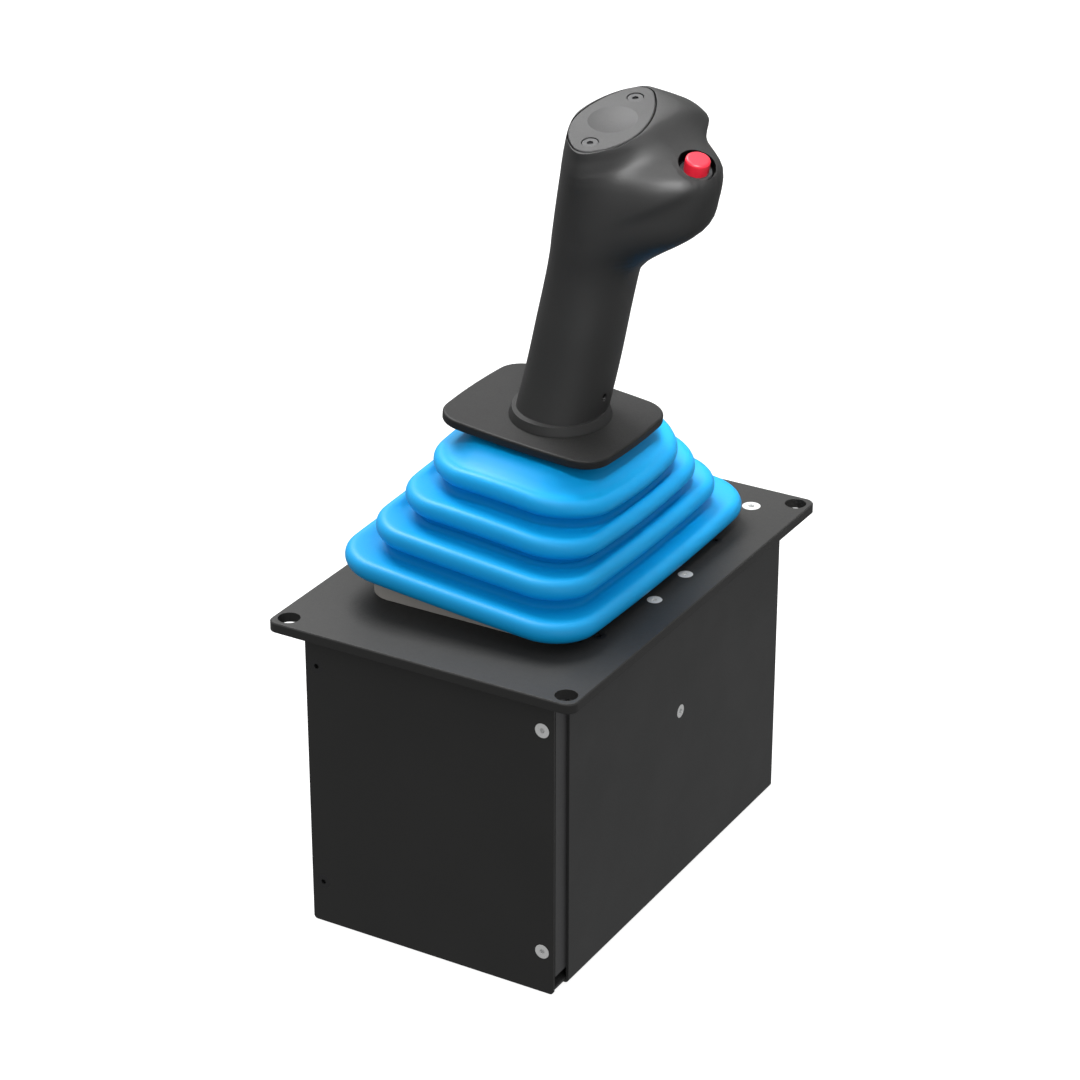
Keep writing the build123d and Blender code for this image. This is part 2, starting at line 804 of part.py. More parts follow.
# Roll shaft, through the hub and both roll bearings, from the sensor to the pulley.
roll_shaft_front = roll_drive_face.origin.Y + 1.0
roll_shaft_rear = yoke_rear.origin.Y - encoder_thick + 1.0
with BuildPart() as roll_shaft:
    with BuildSketch(
        Plane(origin=(pivot_x, roll_shaft_rear, pivot_z), x_dir=(1, 0, 0), z_dir=(0, 1, 0))
    ):
        Circle(roll_shaft_r)
    extrude(amount=roll_shaft_front - roll_shaft_rear)
    chamfer(roll_shaft.edges().filter_by(GeomType.CIRCLE), shaft_bevel)

# Hub on the roll shaft with the socket for the stick's tube.
socket_seats = [
    stick_plane.location * Location((0, 0, socket_screw_height), (0, turn, 0)) for turn in (90, -90)
]
with BuildPart() as stick_hub:
    with BuildSketch(
        Plane(origin=(pivot_x, pivot_y - hub_length / 2, pivot_z), x_dir=(1, 0, 0), z_dir=(0, 1, 0))
    ):
        Circle(hub_r)
    extrude(amount=hub_length)
    with BuildSketch(stick_plane):
        Circle(socket_r)
    extrude(amount=socket_top)
    with Locations(stick_plane.offset(socket_top).location):
        Hole(tube_r, socket_top - tube_foot)
    hub_face = Plane(
        origin=(pivot_x, pivot_y + hub_length / 2, pivot_z), x_dir=(1, 0, 0), z_dir=(0, 1, 0)
    )
    with Locations(hub_face.location):
        Hole(roll_shaft_r, hub_length)
    for seat in socket_seats:
        with Locations(seat):
            Cylinder(
                m4_d / 2, socket_r + 2, align=(Align.CENTER, Align.CENTER, Align.MIN),
                mode=Mode.SUBTRACT,
            )

# Tube that carries the hand rest and the grip.
with BuildPart() as stick_tube:
    with BuildSketch(stick_plane.offset(tube_foot)):
        Circle(tube_r)
        Circle(tube_bore_r, mode=Mode.SUBTRACT)
    extrude(amount=rest_top + tube_into_grip - tube_foot)

# Set screws that grip the tube in the socket.
with BuildPart() as socket_screws:
    for seat in socket_seats:
        with Locations(seat * Location((0, 0, tube_r + running_clearance))):
            Cylinder(
                m4_d / 2, socket_r - tube_r + socket_screw_proud,
                align=(Align.CENTER, Align.CENTER, Align.MIN),
            )
        with Locations(seat * Location((0, 0, socket_r + socket_screw_proud + running_clearance))):
            Hole(m4_d * set_socket_share, 2 * socket_screw_proud)

# Wedge frame on the plate; its top lies square to the leaning stick.
with BuildPart() as boot_frame:
    with BuildSketch(top_face):
        with Locations((frame_x, frame_y)):
            RectangleRounded(2 * frame_half_x, 2 * frame_half_y, frame_corner_r)
            RectangleRounded(
                2 * (frame_half_x - frame_rim), 2 * (frame_half_y - frame_rim),
                frame_corner_r - frame_rim, mode=Mode.SUBTRACT,
            )
    extrude(amount=2 * boot_base - plate_top + pivot_z)
    split(bisect_by=stick_plane.offset(boot_base), keep=Keep.BOTTOM)


def fold_slab(index, inset):
    # One fold of the boot: a slab with bevelled edges.
    half = fold_r - inset
    radius = fold_corner_r[index] - inset
    with BuildPart() as slab:
        with BuildSketch(stick_plane.offset(fold_first + index * fold_pitch - half)):
            RectangleRounded(
                2 * (fold_half_x[index] - inset), 2 * (fold_half_y[index] - inset), radius
            )
        extrude(amount=2 * half)
        axis = Axis(stick_plane.origin, stick_plane.z_dir)
        levels = slab.faces().sort_by(axis)
        chamfer(levels[0].edges() + levels[-1].edges(), half * fold_bevel)
    return slab.part


def boot_body(inset):
    # The boot's solid form, drawn in by the inset all round for the cavity.
    lip_x = frame_half_x - boot_lip_inset - inset * 2
    lip_y = frame_half_y - boot_lip_inset - inset * 2
    folds = [fold_slab(index, inset) for index in range(len(fold_half_x))]
    with BuildPart() as body:
        with BuildSketch(stick_plane.offset(boot_base)):
            RectangleRounded(2 * lip_x, 2 * lip_y, frame_corner_r - boot_lip_inset - inset)
        extrude(amount=fold_first - boot_base)
        for index in range(1, len(fold_half_x)):
            level = fold_first + (index - 1) * fold_pitch
            neck = fold_valley + inset
            with BuildSketch(stick_plane.offset(level)):
                RectangleRounded(
                    2 * (fold_half_x[index] - neck), 2 * (fold_half_y[index] - neck),
                    fold_corner_r[index] - neck / 2,
                )
            extrude(amount=fold_pitch)
        top_level = fold_first + (len(fold_half_x) - 1) * fold_pitch
        with BuildSketch(stick_plane.offset(top_level + fold_r * crown_start_share)):
            RectangleRounded(
                2 * (fold_half_x[-1] - 2 - inset), 2 * (fold_half_y[-1] - 2 - inset),
                fold_corner_r[-1] - inset,
            )
        with BuildSketch(stick_plane.offset(rest_bottom - boot_gap - inset)):
            RectangleRounded(
                2 * (boot_top_half_x - inset), 2 * (boot_top_half_y - inset),
                boot_top_corner_r - inset,
            )
        loft(ruled=True)
        for fold in folds:
            add(fold)
    return body.part


# Boot: flexible, one skin of even thickness, open at the foot and round the clamp ring.
boot_outer = boot_body(0.0)
boot_inner = boot_body(boot_wall)
with BuildPart() as bellows:
    add(boot_outer)
    add(boot_inner, mode=Mode.SUBTRACT)
    with BuildSketch(stick_plane.offset(rest_bottom)):
        Circle(clamp_r + boot_gap)
    extrude(amount=-8, mode=Mode.SUBTRACT)
    with BuildSketch(stick_plane.offset(boot_base)):
        RectangleRounded(
            2 * (frame_half_x - frame_rim), 2 * (frame_half_y - frame_rim),
            frame_corner_r - frame_rim,
        )
    extrude(amount=4, mode=Mode.SUBTRACT)


def bowed_outline(half_x, half_y, power, count):
    # Points on a closed curve between an ellipse and a rectangle.
    points = []
    for step in range(count):
        turn = 2 * pi * step / count
        across = abs(cos(turn)) ** (2 / power) * (1 if cos(turn) >= 0 else -1)
        along = abs(sin(turn)) ** (2 / power) * (1 if sin(turn) >= 0 else -1)
        points.append((half_x * across, half_y * along))
    return points


def lens_sketch(plane, half_x, half_y, end_r, widest_y=0.0):
    # Closed outline of arcs: two round ends, and long sides that run into them and are
    # furthest apart at the given place along the outline.
    corners = {}
    for end in (-1, 1):
        end_y = half_y - end_r - end * widest_y
        side_r = (half_x ** 2 + end_y ** 2 - end_r ** 2) / (2 * (half_x - end_r))
        join_x = end_r * (side_r - half_x) / (side_r - end_r)
        join_y = end_y + end_r * end_y / (side_r - end_r)
        half_turn = atan2(join_y, join_x + side_r - half_x) / 2
        middle = (side_r * cos(half_turn) - side_r + half_x, side_r * sin(half_turn))
        corners[end] = (join_x, end * join_y + widest_y, middle[0], end * middle[1] + widest_y)
    with BuildSketch(plane) as outline:
        with BuildLine():
            for end in (-1, 1):
                join_x, join_y, middle_x, middle_y = corners[end]
                for side in (-1, 1):
                    ThreePointArc(
                        (side * half_x, widest_y), (side * middle_x, middle_y),
                        (side * join_x, join_y),
                    )
                ThreePointArc((join_x, join_y), (0, end * half_y), (-join_x, join_y))
        make_face()
    return outline.sketch


# Grip sections: height, centre x and y, half sizes, squareness, tilt, thumb and nose swell.
grip_sections = [
    (106.2, 1.7, 1.0, 21.1, 25.8, 2.20, 0.0, 0.0, 0.0),
    (122.0, 1.8, 6.7, 21.1, 25.9, 2.20, 1.7, 0.0, 0.0),
    (138.0, 1.9, 11.4, 21.0, 26.2, 2.20, 3.3, 0.0, 0.0),
    (154.0, 2.0, 15.2, 20.8, 26.7, 2.20, 4.9, 0.0, 0.0),
    (168.0, 2.0, 19.1, 20.6, 27.5, 2.20, 6.3, 0.0, 0.0),
    (178.0, 2.0, 21.5, 20.3, 28.4, 2.20, 7.3, 1.7, 0.0),
    (186.0, 2.0, 23.2, 20.1, 29.3, 2.20, 8.3, 7.2, 0.0),
    (193.0, 2.0, 24.4, 20.0, 30.3, 2.20, 9.2, 15.9, 0.0),
    (199.0, 2.0, 25.4, 20.2, 31.2, 2.20, 9.8, 24.5, 0.0),
    (205.0, 2.0, 26.3, 20.4, 31.8, 2.16, 10.4, 31.8, 0.0),
    (211.0, 2.0, 26.8, 20.5, 32.3, 2.11, 11.0, 35.4, 0.0),
    (218.0, 1.9, 27.3, 20.4, 32.9, 2.04, 11.6, 36.6, 0.0),
    (225.0, 1.9, 27.9, 20.4, 33.7, 1.97, 12.4, 37.2, 0.7),
    (231.5, 1.9, 28.4, 20.4, 34.7, 1.88, 13.0, 36.2, 3.1),
    (235.5, 1.9, 28.6, 20.4, 35.4, 1.83, 13.2, 32.6, 5.9),
    (238.0, 1.9, 28.8, 20.4, 35.7, 1.81, 13.2, 28.0, 9.2),
    (240.2, 2.0, 29.0, 20.4, 36.0, 1.80, 13.2, 21.6, 15.4),
    (242.3, 2.0, 29.2, 20.5, 36.0, 1.78, 13.2, 16.0, 18.4),
    (245.0, 2.1, 29.2, 20.5, 35.6, 1.76, 13.2, 10.8, 17.9),
    (248.0, 2.2, 28.6, 20.5, 34.4, 1.72, 13.2, 6.0, 16.3),
    (250.2, 2.3, 27.4, 20.0, 33.2, 1.68, 13.2, 3.0, 13.6),
    (251.6, 2.3, 26.5, 19.4, 32.3, 1.66, 13.2, 0.5, 10.0),
]
section_steps = 2
section_turns = 36
thumb_angle = 6.0
thumb_spread_near = 46.0
thumb_spread_far = 34.0
nose_angle = 45.0
nose_spread_near = 22.0
nose_spread_far = 32.0


def eased_rows(rows, steps):
    # Rows between those given, every column following one smooth curve through them.
    last = len(rows) - 1

    def slope(index, column):
        low = rows[max(index - 1, 0)]
        high = rows[min(index + 1, last)]
        return (high[column] - low[column]) / (high[0] - low[0])

    eased = []
    for index in range(last):
        span = rows[index + 1][0] - rows[index][0]
        for step in range(steps):
            t = step / steps
            row = [rows[index][0] + t * span]
            for column in range(1, len(rows[index])):
                start = rows[index][column] * (2 * t ** 3 - 3 * t ** 2 + 1)
                leave = slope(index, column) * span * (t ** 3 - 2 * t ** 2 + t)
                end = rows[index + 1][column] * (3 * t ** 2 - 2 * t ** 3)
                arrive = slope(index + 1, column) * span * (t ** 3 - t ** 2)
                row.append(start + leave + end + arrive)
            eased.append(row)
    eased.append(list(rows[last]))
    return eased


def tilted_plane(height, x, y, tilt, roll=0.0):
    # Plane on the stick at a given point, its front raised by the tilt.
    turned = Location((x, y, height), (tilt, roll, 0))
    return Plane(stick_plane.location * turned)


def section_points(half_x, half_y, power, thumb, nose):
    # One section of the grip: a bowed oval, swollen towards the thumb and the nose.
    points = []
    for x, y in bowed_outline(half_x, half_y, power, section_turns):
        turn = degrees(atan2(y, x))
        reach = hypot(x, y)
        swell = 0.0
        for amount, angle, near_spread, far_spread in (
            (thumb, thumb_angle, thumb_spread_near, thumb_spread_far),
            (nose, nose_angle, nose_spread_near, nose_spread_far),
        ):
            away = (turn - angle + 180) % 360 - 180
            spread = near_spread if away < 0 else far_spread
            swell += amount * exp(-((away / spread) ** 2))
        grown = (reach + swell) / reach
        points.append((x * grown, y * grown))
    return points


def outline_sketch(plane, points):
    with BuildSketch(plane) as outline:
        with BuildLine():
            Spline(*points, periodic=True)
        make_face()
    return outline.sketch


face_height, face_x, face_y = grip_sections[-1][:3]
face_plane = tilted_plane(face_height, face_x, face_y, face_tilt, face_roll)
face_floor = face_plane.offset(face_proud - face_thick)
face_screws = [(0, -face_screw_span / 2), (0, face_screw_span / 2)]
thumb_seat = Plane(
    origin=tilted_plane(thumb_height, thumb_x, thumb_y, 0.0).origin,
    x_dir=(1, 0, -thumb_lean), z_dir=thumb_axis,
)
clamp_seat = Plane(
    stick_plane.location
    * Location((0, 0, clamp_screw_height), (0, 0, clamp_screw_angle))
    * Location((0, 0, 0), (0, 90, 0))
)

# Grip: one lofted body with a seat for the face plate, a thumb recess and the tube's bore.
with BuildPart() as grip:
    for height, x, y, half_x, half_y, power, tilt, thumb, nose in eased_rows(
        grip_sections, section_steps
    ):
        add(
            outline_sketch(
                tilted_plane(height, x, y, tilt, face_roll * tilt / face_tilt),
                section_points(half_x, half_y, power, thumb, nose),
            )
        )
    loft(ruled=True)
    foot_height, foot_x, foot_y, foot_half_x, foot_half_y = grip_sections[0][:5]
    add(
        lens_sketch(
            tilted_plane(foot_height, foot_x, foot_y, 0.0),
            foot_half_x + collar_margin, foot_half_y + collar_margin, foot_half_x,
        )
    )
    extrude(amount=collar_height, taper=collar_taper)
    add(
        lens_sketch(
            face_floor, face_half_x + face_groove, face_half_y + face_groove,
            face_end_r + face_groove, face_widest_y,
        )
    )
    extrude(amount=face_thick + 2, mode=Mode.SUBTRACT)
    with BuildSketch(face_floor):
        SlotOverall(face_screw_span * face_pocket_share, face_half_x, rotation=90)
    extrude(amount=-face_pocket, mode=Mode.SUBTRACT)
    tapped_holes(face_floor, face_screws, m4_d, face_screw_hole)
    with BuildSketch(stick_plane.offset(rest_top)):
        Circle(tube_r)
    extrude(amount=tube_into_grip, mode=Mode.SUBTRACT)
    with BuildSketch(thumb_seat.offset(-thumb_recess_depth)):
        Circle(thumb_recess_r)
    extrude(amount=thumb_recess_depth + thumb_recess_r, mode=Mode.SUBTRACT)
    with BuildSketch(thumb_seat.offset(-thumb_recess_depth)):
        Circle(switch_r)
    extrude(amount=-switch_depth + thumb_recess_depth, mode=Mode.SUBTRACT)
    with BuildSketch(clamp_seat):
        Circle(m4_d / 2)
    extrude(amount=foot_half_x + face_pocket, mode=Mode.SUBTRACT)

# Face plate: dished in the middle, a screw recess at each end.
with BuildPart() as face_plate:
    add(lens_sketch(face_floor, face_half_x, face_half_y, face_end_r, face_widest_y))
    extrude(amount=face_thick)
    axis = Axis(face_plane.origin, face_plane.z_dir)
    fillet(face_plate.faces().sort_by(axis)[-1].edges(), face_edge_r)
    with Locations(face_plane.offset(face_proud + face_dish_r - face_dish_depth).location):
        Sphere(face_dish_r, mode=Mode.SUBTRACT)
    with Locations(face_plane.offset(face_proud).location):
        with Locations(*face_screws):
            CounterBoreHole(
                m4_d / 2 + screw_clearance, face_screw_recess / 2, face_thick / 2, face_thick
            )
face_screw_seats = [
    local_plane(face_plane.offset(face_proud - face_thick / 2), Vector(x, y))
    for x, y in face_screws
]
face_plate_screws = cap_screws(
    face_screw_seats, m4_d, m4_head_d, face_head_height, face_screw_length
)

# Set screw that holds the grip on the tube.
with BuildPart() as grip_clamp_screw:
    with BuildSketch(clamp_seat.offset(tube_r)):
        Circle(m4_d / 2)
    extrude(amount=clamp_screw_length)
    with BuildSketch(clamp_seat.offset(tube_r + clamp_screw_length)):
        RegularPolygon(m4_d * set_socket_share, 6, major_radius=False)
    extrude(amount=-clamp_socket_depth, mode=Mode.SUBTRACT)

# Thumb switch: a barrel in the grip, open at the top for the cap.
with BuildPart() as button_switch:
    with BuildSketch(thumb_seat.offset(-switch_depth)):
        Circle(switch_r)
    extrude(amount=switch_depth - thumb_recess_depth + switch_rise)
    rim = button_switch.faces().sort_by(Axis(thumb_seat.origin, thumb_seat.z_dir))[-1]
    chamfer(rim.edges(), switch_bevel)
    with BuildSketch(thumb_seat.offset(switch_rise - thumb_recess_depth)):
        Circle(button_r + button_fit)
    extrude(
        amount=button_proud - button_length - button_travel - button_seat_gap
        - switch_rise + thumb_recess_depth,
        mode=Mode.SUBTRACT,
    )

with BuildPart() as button_cap:
    with BuildSketch(thumb_seat.offset(button_proud)):
        Circle(button_r)
    extrude(amount=-button_length)
    crown = button_cap.faces().sort_by(Axis(thumb_seat.origin, thumb_seat.z_dir))[-1]
    fillet(crown.edges(), button_crown_r)

# Hand rest, clamped on the tube under the grip.
with BuildPart() as hand_rest:
    with BuildSketch(tilted_plane(rest_bottom, rest_offset_x, rest_offset_y, 0.0)):
        with BuildLine():
            corner_x = rest_half_x - rest_bow
            corner_y = rest_half_y - rest_bow
            for side in (-1, 1):
                ThreePointArc(
                    (side * corner_x, -corner_y), (side * rest_half_x, 0),
                    (side * corner_x, corner_y),
                )
                ThreePointArc(
                    (-corner_x, side * corner_y), (0, side * rest_half_y),
                    (corner_x, side * corner_y),
                )
        make_face()
        fillet(vertices(), rest_corner_r)
    extrude(amount=rest_thick)
    axis = Axis(stick_plane.origin, stick_plane.z_dir)
    levels = hand_rest.faces().sort_by(axis)
    fillet(levels[0].edges() + levels[-1].edges(), rest_edge_r)
    with Locations(stick_plane.offset(rest_top).location):
        Hole(tube_r, rest_thick)

with BuildPart() as hand_rest_clamp:
    with BuildSketch(stick_plane.offset(rest_bottom)):
        Circle(clamp_r)
        Circle(tube_r, mode=Mode.SUBTRACT)
        with Locations(((clamp_r + tube_r) / 2, 0)):
            Rectangle(clamp_r - tube_r + 4, clamp_slot, mode=Mode.SUBTRACT)
    extrude(amount=-clamp_height)

# Screws, grouped by what they hold and by finish.
plate_screws_m5 = hex_socket_screws([(top_face, end_beam_screws)], m5_d, m5_head_d, plate_screw_length)
plate_screws_m4 = hex_socket_screws([(top_face, block_screws)], m4_d, m4_head_d, plate_screw_length)
plate_screws_dark = hex_socket_screws([(top_face, rail_screws)], m4_d, m4_head_d, rail_screw_length)
end_screws = hex_socket_screws(
    [(near_face, end_bright), (far_face, end_bright)], m4_d, m4_head_d, rail_screw_length
)
end_screws_dark = hex_socket_screws(
    [(near_face, end_dark), (far_face, end_dark)], m4_d, m4_head_d, rail_screw_length
)
cover_screws = hex_socket_screws(
    [
        (right_face, [(side_screw_y, side_screw_z)]),
        (left_face, [(-side_screw_y, side_screw_z)]),
    ],
    m4_d, cover_head_d, cover_screw_length,
)
with BuildPart() as pitch_drive_screws:
    add(
        cap_screws(
            [
                Plane(origin=(x, y, plate_bottom - bracket_thick), x_dir=(1, 0, 0), z_dir=(0, 0, -1))
                for x, y in bracket_foot_places
            ],
            m4_d, cap_head_d, m4_d, bracket_thick + plate_thick - drive_screw_short,
        ).part
    )
    add(
        hex_socket_screws(
            [(pitch_mount.offset(bracket_thick), motor_screws)], m3_d, m3_head_d,
            motor_screw_length - motor_screw_slack,
        ).part
    )
with BuildPart() as roll_drive_screws:
    add(
        cap_screws(
            [
                local_plane(yoke_front.offset(bracket_thick), Vector(x, y))
                for x, y in bracket_screws
            ],
            m3_d, m3_head_d, yoke_head_height, yoke_screw_length,
        ).part
    )
    add(
        hex_socket_screws(
            [(roll_mount.offset(bracket_thick), motor_screws)], m3_d, m3_head_d,
            motor_screw_length - motor_screw_slack,
        ).part
    )

# Board under the gimbal, on four standoffs, with a finned cooler.
board_level = tray_top + standoff_height
standoff_places = [
    (x * (board_width / 2 - standoff_in), board_y + y * (board_length / 2 - standoff_in))
    for x in (-1, 1) for y in (-1, 1)
]
with BuildPart() as control_board:
    with BuildSketch(Plane.XY.offset(board_level)):
        with Locations((0, board_y)):
            RectangleRounded(board_width, board_length, 3)
    extrude(amount=board_thick)
    with BuildSketch(Plane.XY.offset(board_level + board_thick)):
        for x, y, width, length in board_chips:
            with Locations((x, board_y + y)):
                Rectangle(width, length)
    extrude(amount=chip_height)
with BuildPart() as board_standoffs:
    with BuildSketch(Plane.XY.offset(tray_top)):
        with Locations(*standoff_places):
            RegularPolygon(standoff_r, 6)
    extrude(amount=standoff_height)
with BuildPart() as board_heatsink:
    with BuildSketch(Plane.XY.offset(board_level + board_thick)):
        with Locations((sink_place[0], board_y + sink_place[1])):
            Rectangle(sink_width, sink_length)
    extrude(amount=sink_base)
    with BuildSketch(Plane.XY.offset(board_level + board_thick + sink_base)):
        with Locations((sink_place[0], board_y + sink_place[1])):
            with GridLocations(sink_width / (sink_fins - 0.5), 0, sink_fins, 1):
                Rectangle(fin_thick, sink_length)
    extrude(amount=sink_height - sink_base)

# Round socket on the far end plate for the cable.
connector_face = local_plane(far_face, Vector(-connector_x, connector_z))
with BuildPart() as panel_connector:
    with BuildSketch(connector_face):
        RectangleRounded(connector_flange, connector_flange, 3)
    extrude(amount=connector_flange_thick)
    with BuildSketch(connector_face.offset(-end_sheet - connector_depth)):
        Circle(connector_r)
    extrude(amount=end_sheet + connector_depth + connector_reach)
    with BuildSketch(connector_face.offset(connector_reach)):
        Circle(connector_r - connector_rim)
        with PolarLocations(connector_pin_ring, 5):
            Circle(connector_pin_r, mode=Mode.SUBTRACT)
        Circle(connector_pin_r, mode=Mode.SUBTRACT)
    extrude(amount=-connector_pin_depth, mode=Mode.SUBTRACT)

pieces = {
    "top_plate": top_plate,
    "near_end_plate": near_end_plate,
    "far_end_plate": far_end_plate,
    "right_side_cover": right_side_cover,
    "left_side_cover": left_side_cover,
    "bottom_tray": bottom_tray,
    **posts,
    "far_cross_beam": far_cross_beam,
    "left_bearing_block": left_bearing_block,
    "right_bearing_block": right_bearing_block,
    "pitch_bearing_left": pitch_bearing_left,
    "pitch_bearing_right": pitch_bearing_right,
    "roll_bearing_front": roll_bearing_front,
    "roll_bearing_rear": roll_bearing_rear,
    "gimbal_yoke": gimbal_yoke,
    "pitch_shaft_left": pitch_shaft_left,
    "pitch_shaft_right": pitch_shaft_right,
    "pitch_pulley": pitch_pulley,
    "roll_pulley": roll_pulley,
    "pitch_motor_pulley": pitch_motor_pulley,
    "roll_motor_pulley": roll_motor_pulley,
    "pitch_belt": pitch_belt,
    "roll_belt": roll_belt,
    "roll_motor": roll_motor,
    "pitch_motor": pitch_motor,
    "roll_motor_shaft": roll_motor_shaft,
    "pitch_motor_shaft": pitch_motor_shaft,
    "roll_motor_bracket": roll_motor_bracket,
    "pitch_motor_bracket": pitch_motor_bracket,
    "pitch_encoder": pitch_encoder,
    "roll_encoder": roll_encoder,
    "roll_shaft": roll_shaft,
    "stick_hub": stick_hub,
    "stick_tube": stick_tube,
    "socket_screws": socket_screws,
    "boot_frame": boot_frame,
    "bellows": bellows,
    "grip": grip,
    "hand_rest": hand_rest,
    "hand_rest_clamp": hand_rest_clamp,
    "face_plate": face_plate,
    "face_plate_screws": face_plate_screws,
    "grip_clamp_screw": grip_clamp_screw,
    "button_switch": button_switch,
    "button_cap": button_cap,
    "plate_screws_m5": plate_screws_m5,
    "plate_screws_m4": plate_screws_m4,
    "plate_screws_dark": plate_screws_dark,
    "end_screws": end_screws,
    "end_screws_dark": end_screws_dark,
    "cover_screws": cover_screws,
    "pitch_drive_screws": pitch_drive_screws,
    "roll_drive_screws": roll_drive_screws,
    "control_board": control_board,
    "board_standoffs": board_standoffs,
    "board_heatsink": board_heatsink,
    "panel_connector": panel_connector,
}

os.makedirs("parts", exist_ok=True)
for name, piece in pieces.items():
    piece.part.label = name
    export_step(piece.part, f"parts/{name}.step")
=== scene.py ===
import json
import math

import bmesh
import bpy
from mathutils import Matrix, Vector
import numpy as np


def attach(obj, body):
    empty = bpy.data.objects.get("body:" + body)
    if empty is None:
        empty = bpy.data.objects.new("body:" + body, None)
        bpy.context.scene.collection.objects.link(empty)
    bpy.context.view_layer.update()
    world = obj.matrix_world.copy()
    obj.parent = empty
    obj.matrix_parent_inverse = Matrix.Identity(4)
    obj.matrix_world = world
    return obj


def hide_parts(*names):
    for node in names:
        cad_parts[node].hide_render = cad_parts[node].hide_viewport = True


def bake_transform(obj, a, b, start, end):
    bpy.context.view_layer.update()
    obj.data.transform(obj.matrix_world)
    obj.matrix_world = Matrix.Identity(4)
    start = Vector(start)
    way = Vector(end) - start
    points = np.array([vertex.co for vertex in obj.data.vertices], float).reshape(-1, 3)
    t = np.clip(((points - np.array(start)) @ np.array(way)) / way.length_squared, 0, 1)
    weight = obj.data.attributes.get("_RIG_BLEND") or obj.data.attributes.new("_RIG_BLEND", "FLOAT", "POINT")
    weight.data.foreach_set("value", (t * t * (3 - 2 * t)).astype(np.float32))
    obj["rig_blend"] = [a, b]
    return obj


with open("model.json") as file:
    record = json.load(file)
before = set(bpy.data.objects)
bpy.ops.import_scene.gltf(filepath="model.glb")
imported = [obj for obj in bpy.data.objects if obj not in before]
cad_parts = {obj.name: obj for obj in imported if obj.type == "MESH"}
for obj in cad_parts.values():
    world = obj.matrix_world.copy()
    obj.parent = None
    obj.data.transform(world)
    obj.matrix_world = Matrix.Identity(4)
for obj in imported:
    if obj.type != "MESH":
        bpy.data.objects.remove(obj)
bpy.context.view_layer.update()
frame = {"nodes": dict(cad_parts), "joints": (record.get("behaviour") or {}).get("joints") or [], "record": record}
mm = 0.001

# The stick's own frame: it leans to the pilot's right, and everything on it is built along it.
stickFrame = {
    "leanDegrees": 5.1,
    "pivot": Vector(frame["joints"][0]["pos_m"]),
}


def stickMatrix():
    lean = Matrix.Rotation(math.radians(stickFrame["leanDegrees"]), 4, "Y")
    return Matrix.Translation(stickFrame["pivot"]) @ lean


def newGroup(name, inputs, outputs):
    group = bpy.data.node_groups.new(name, "ShaderNodeTree")
    for label, kind in inputs.items():
        group.interface.new_socket(name=label, in_out="INPUT", socket_type=kind)
    for label, kind in outputs.items():
        group.interface.new_socket(name=label, in_out="OUTPUT", socket_type=kind)
    return group, group.nodes.new("NodeGroupInput"), group.nodes.new("NodeGroupOutput")


def addNode(tree, kind, inputs=None, **settings):
    # Settings are the node's own; each input is another node's socket or a plain value.
    node = tree.nodes.new(kind)
    for key, value in settings.items():
        setattr(node, key, value)
    for key, value in (inputs or {}).items():
        if isinstance(value, bpy.types.NodeSocket):
            tree.links.new(value, node.inputs[key])
        else:
            node.inputs[key].default_value = value
    return node


def mixColours(tree, share, first, second):
    # On a Mix node set to colours, the colours are inputs 6 and 7 and output 2.
    return addNode(tree, "ShaderNodeMix", {0: share, 6: first, 7: second}, data_type="RGBA").outputs[2]


def multiply(tree, first, second):
    return addNode(tree, "ShaderNodeMath", {0: first, 1: second}, operation="MULTIPLY").outputs[0]


# Fine moulded or coated texture: roughness that varies a little, and a shallow bump.
grainLook = {
    "fineDetail": 3.0,
    "fineRoughness": 0.6,
    "broadScale": 22.0,
    "broadDetail": 4.0,
    "broadRoughness": 0.55,
    "lowest": 0.12,
    "highest": 0.4,
    "edgeSamples": 4,
}


def makeGrainGroup():
    group, given, out = newGroup(
        "fineGrain",
        {
            "Scale": "NodeSocketFloat",
            "Height": "NodeSocketFloat",
            "Rough Low": "NodeSocketFloat",
            "Rough High": "NodeSocketFloat",
            "Edge Radius": "NodeSocketFloat",
        },
        {"Roughness": "NodeSocketFloat", "Normal": "NodeSocketVector"},
    )
    where = addNode(group, "ShaderNodeTexCoord").outputs["Object"]
    grain = addNode(
        group, "ShaderNodeTexNoise",
        {
            "Vector": where, "Scale": given.outputs["Scale"],
            "Detail": grainLook["fineDetail"], "Roughness": grainLook["fineRoughness"],
        },
    )
    broad = addNode(
        group, "ShaderNodeTexNoise",
        {
            "Vector": where, "Scale": grainLook["broadScale"],
            "Detail": grainLook["broadDetail"], "Roughness": grainLook["broadRoughness"],
        },
    )
    rough = addNode(
        group, "ShaderNodeMapRange",
        {
            "Value": multiply(group, grain.outputs["Fac"], broad.outputs["Fac"]),
            "From Min": grainLook["lowest"], "From Max": grainLook["highest"],
            "To Min": given.outputs["Rough Low"], "To Max": given.outputs["Rough High"],
        },
    )
    soft = addNode(
        group, "ShaderNodeBevel", {"Radius": given.outputs["Edge Radius"]},
        samples=grainLook["edgeSamples"],
    )
    bump = addNode(
        group, "ShaderNodeBump",
        {
            "Height": grain.outputs["Fac"], "Distance": given.outputs["Height"],
            "Strength": 1.0, "Normal": soft.outputs["Normal"],
        },
    )
    group.links.new(rough.outputs["Result"], out.inputs["Roughness"])
    group.links.new(bump.outputs["Normal"], out.inputs["Normal"])
    return group


# Two near tones in soft patches, and a trace of dust where a face looks up.
toneLook = {
    "patchScale": 18.0,
    "patchDetail": 5.0,
    "dustColour": (0.3, 0.29, 0.27),
    "dustFromUpward": 0.4,
    "speckScale": 420.0,
    "speckDetail": 2.0,
}


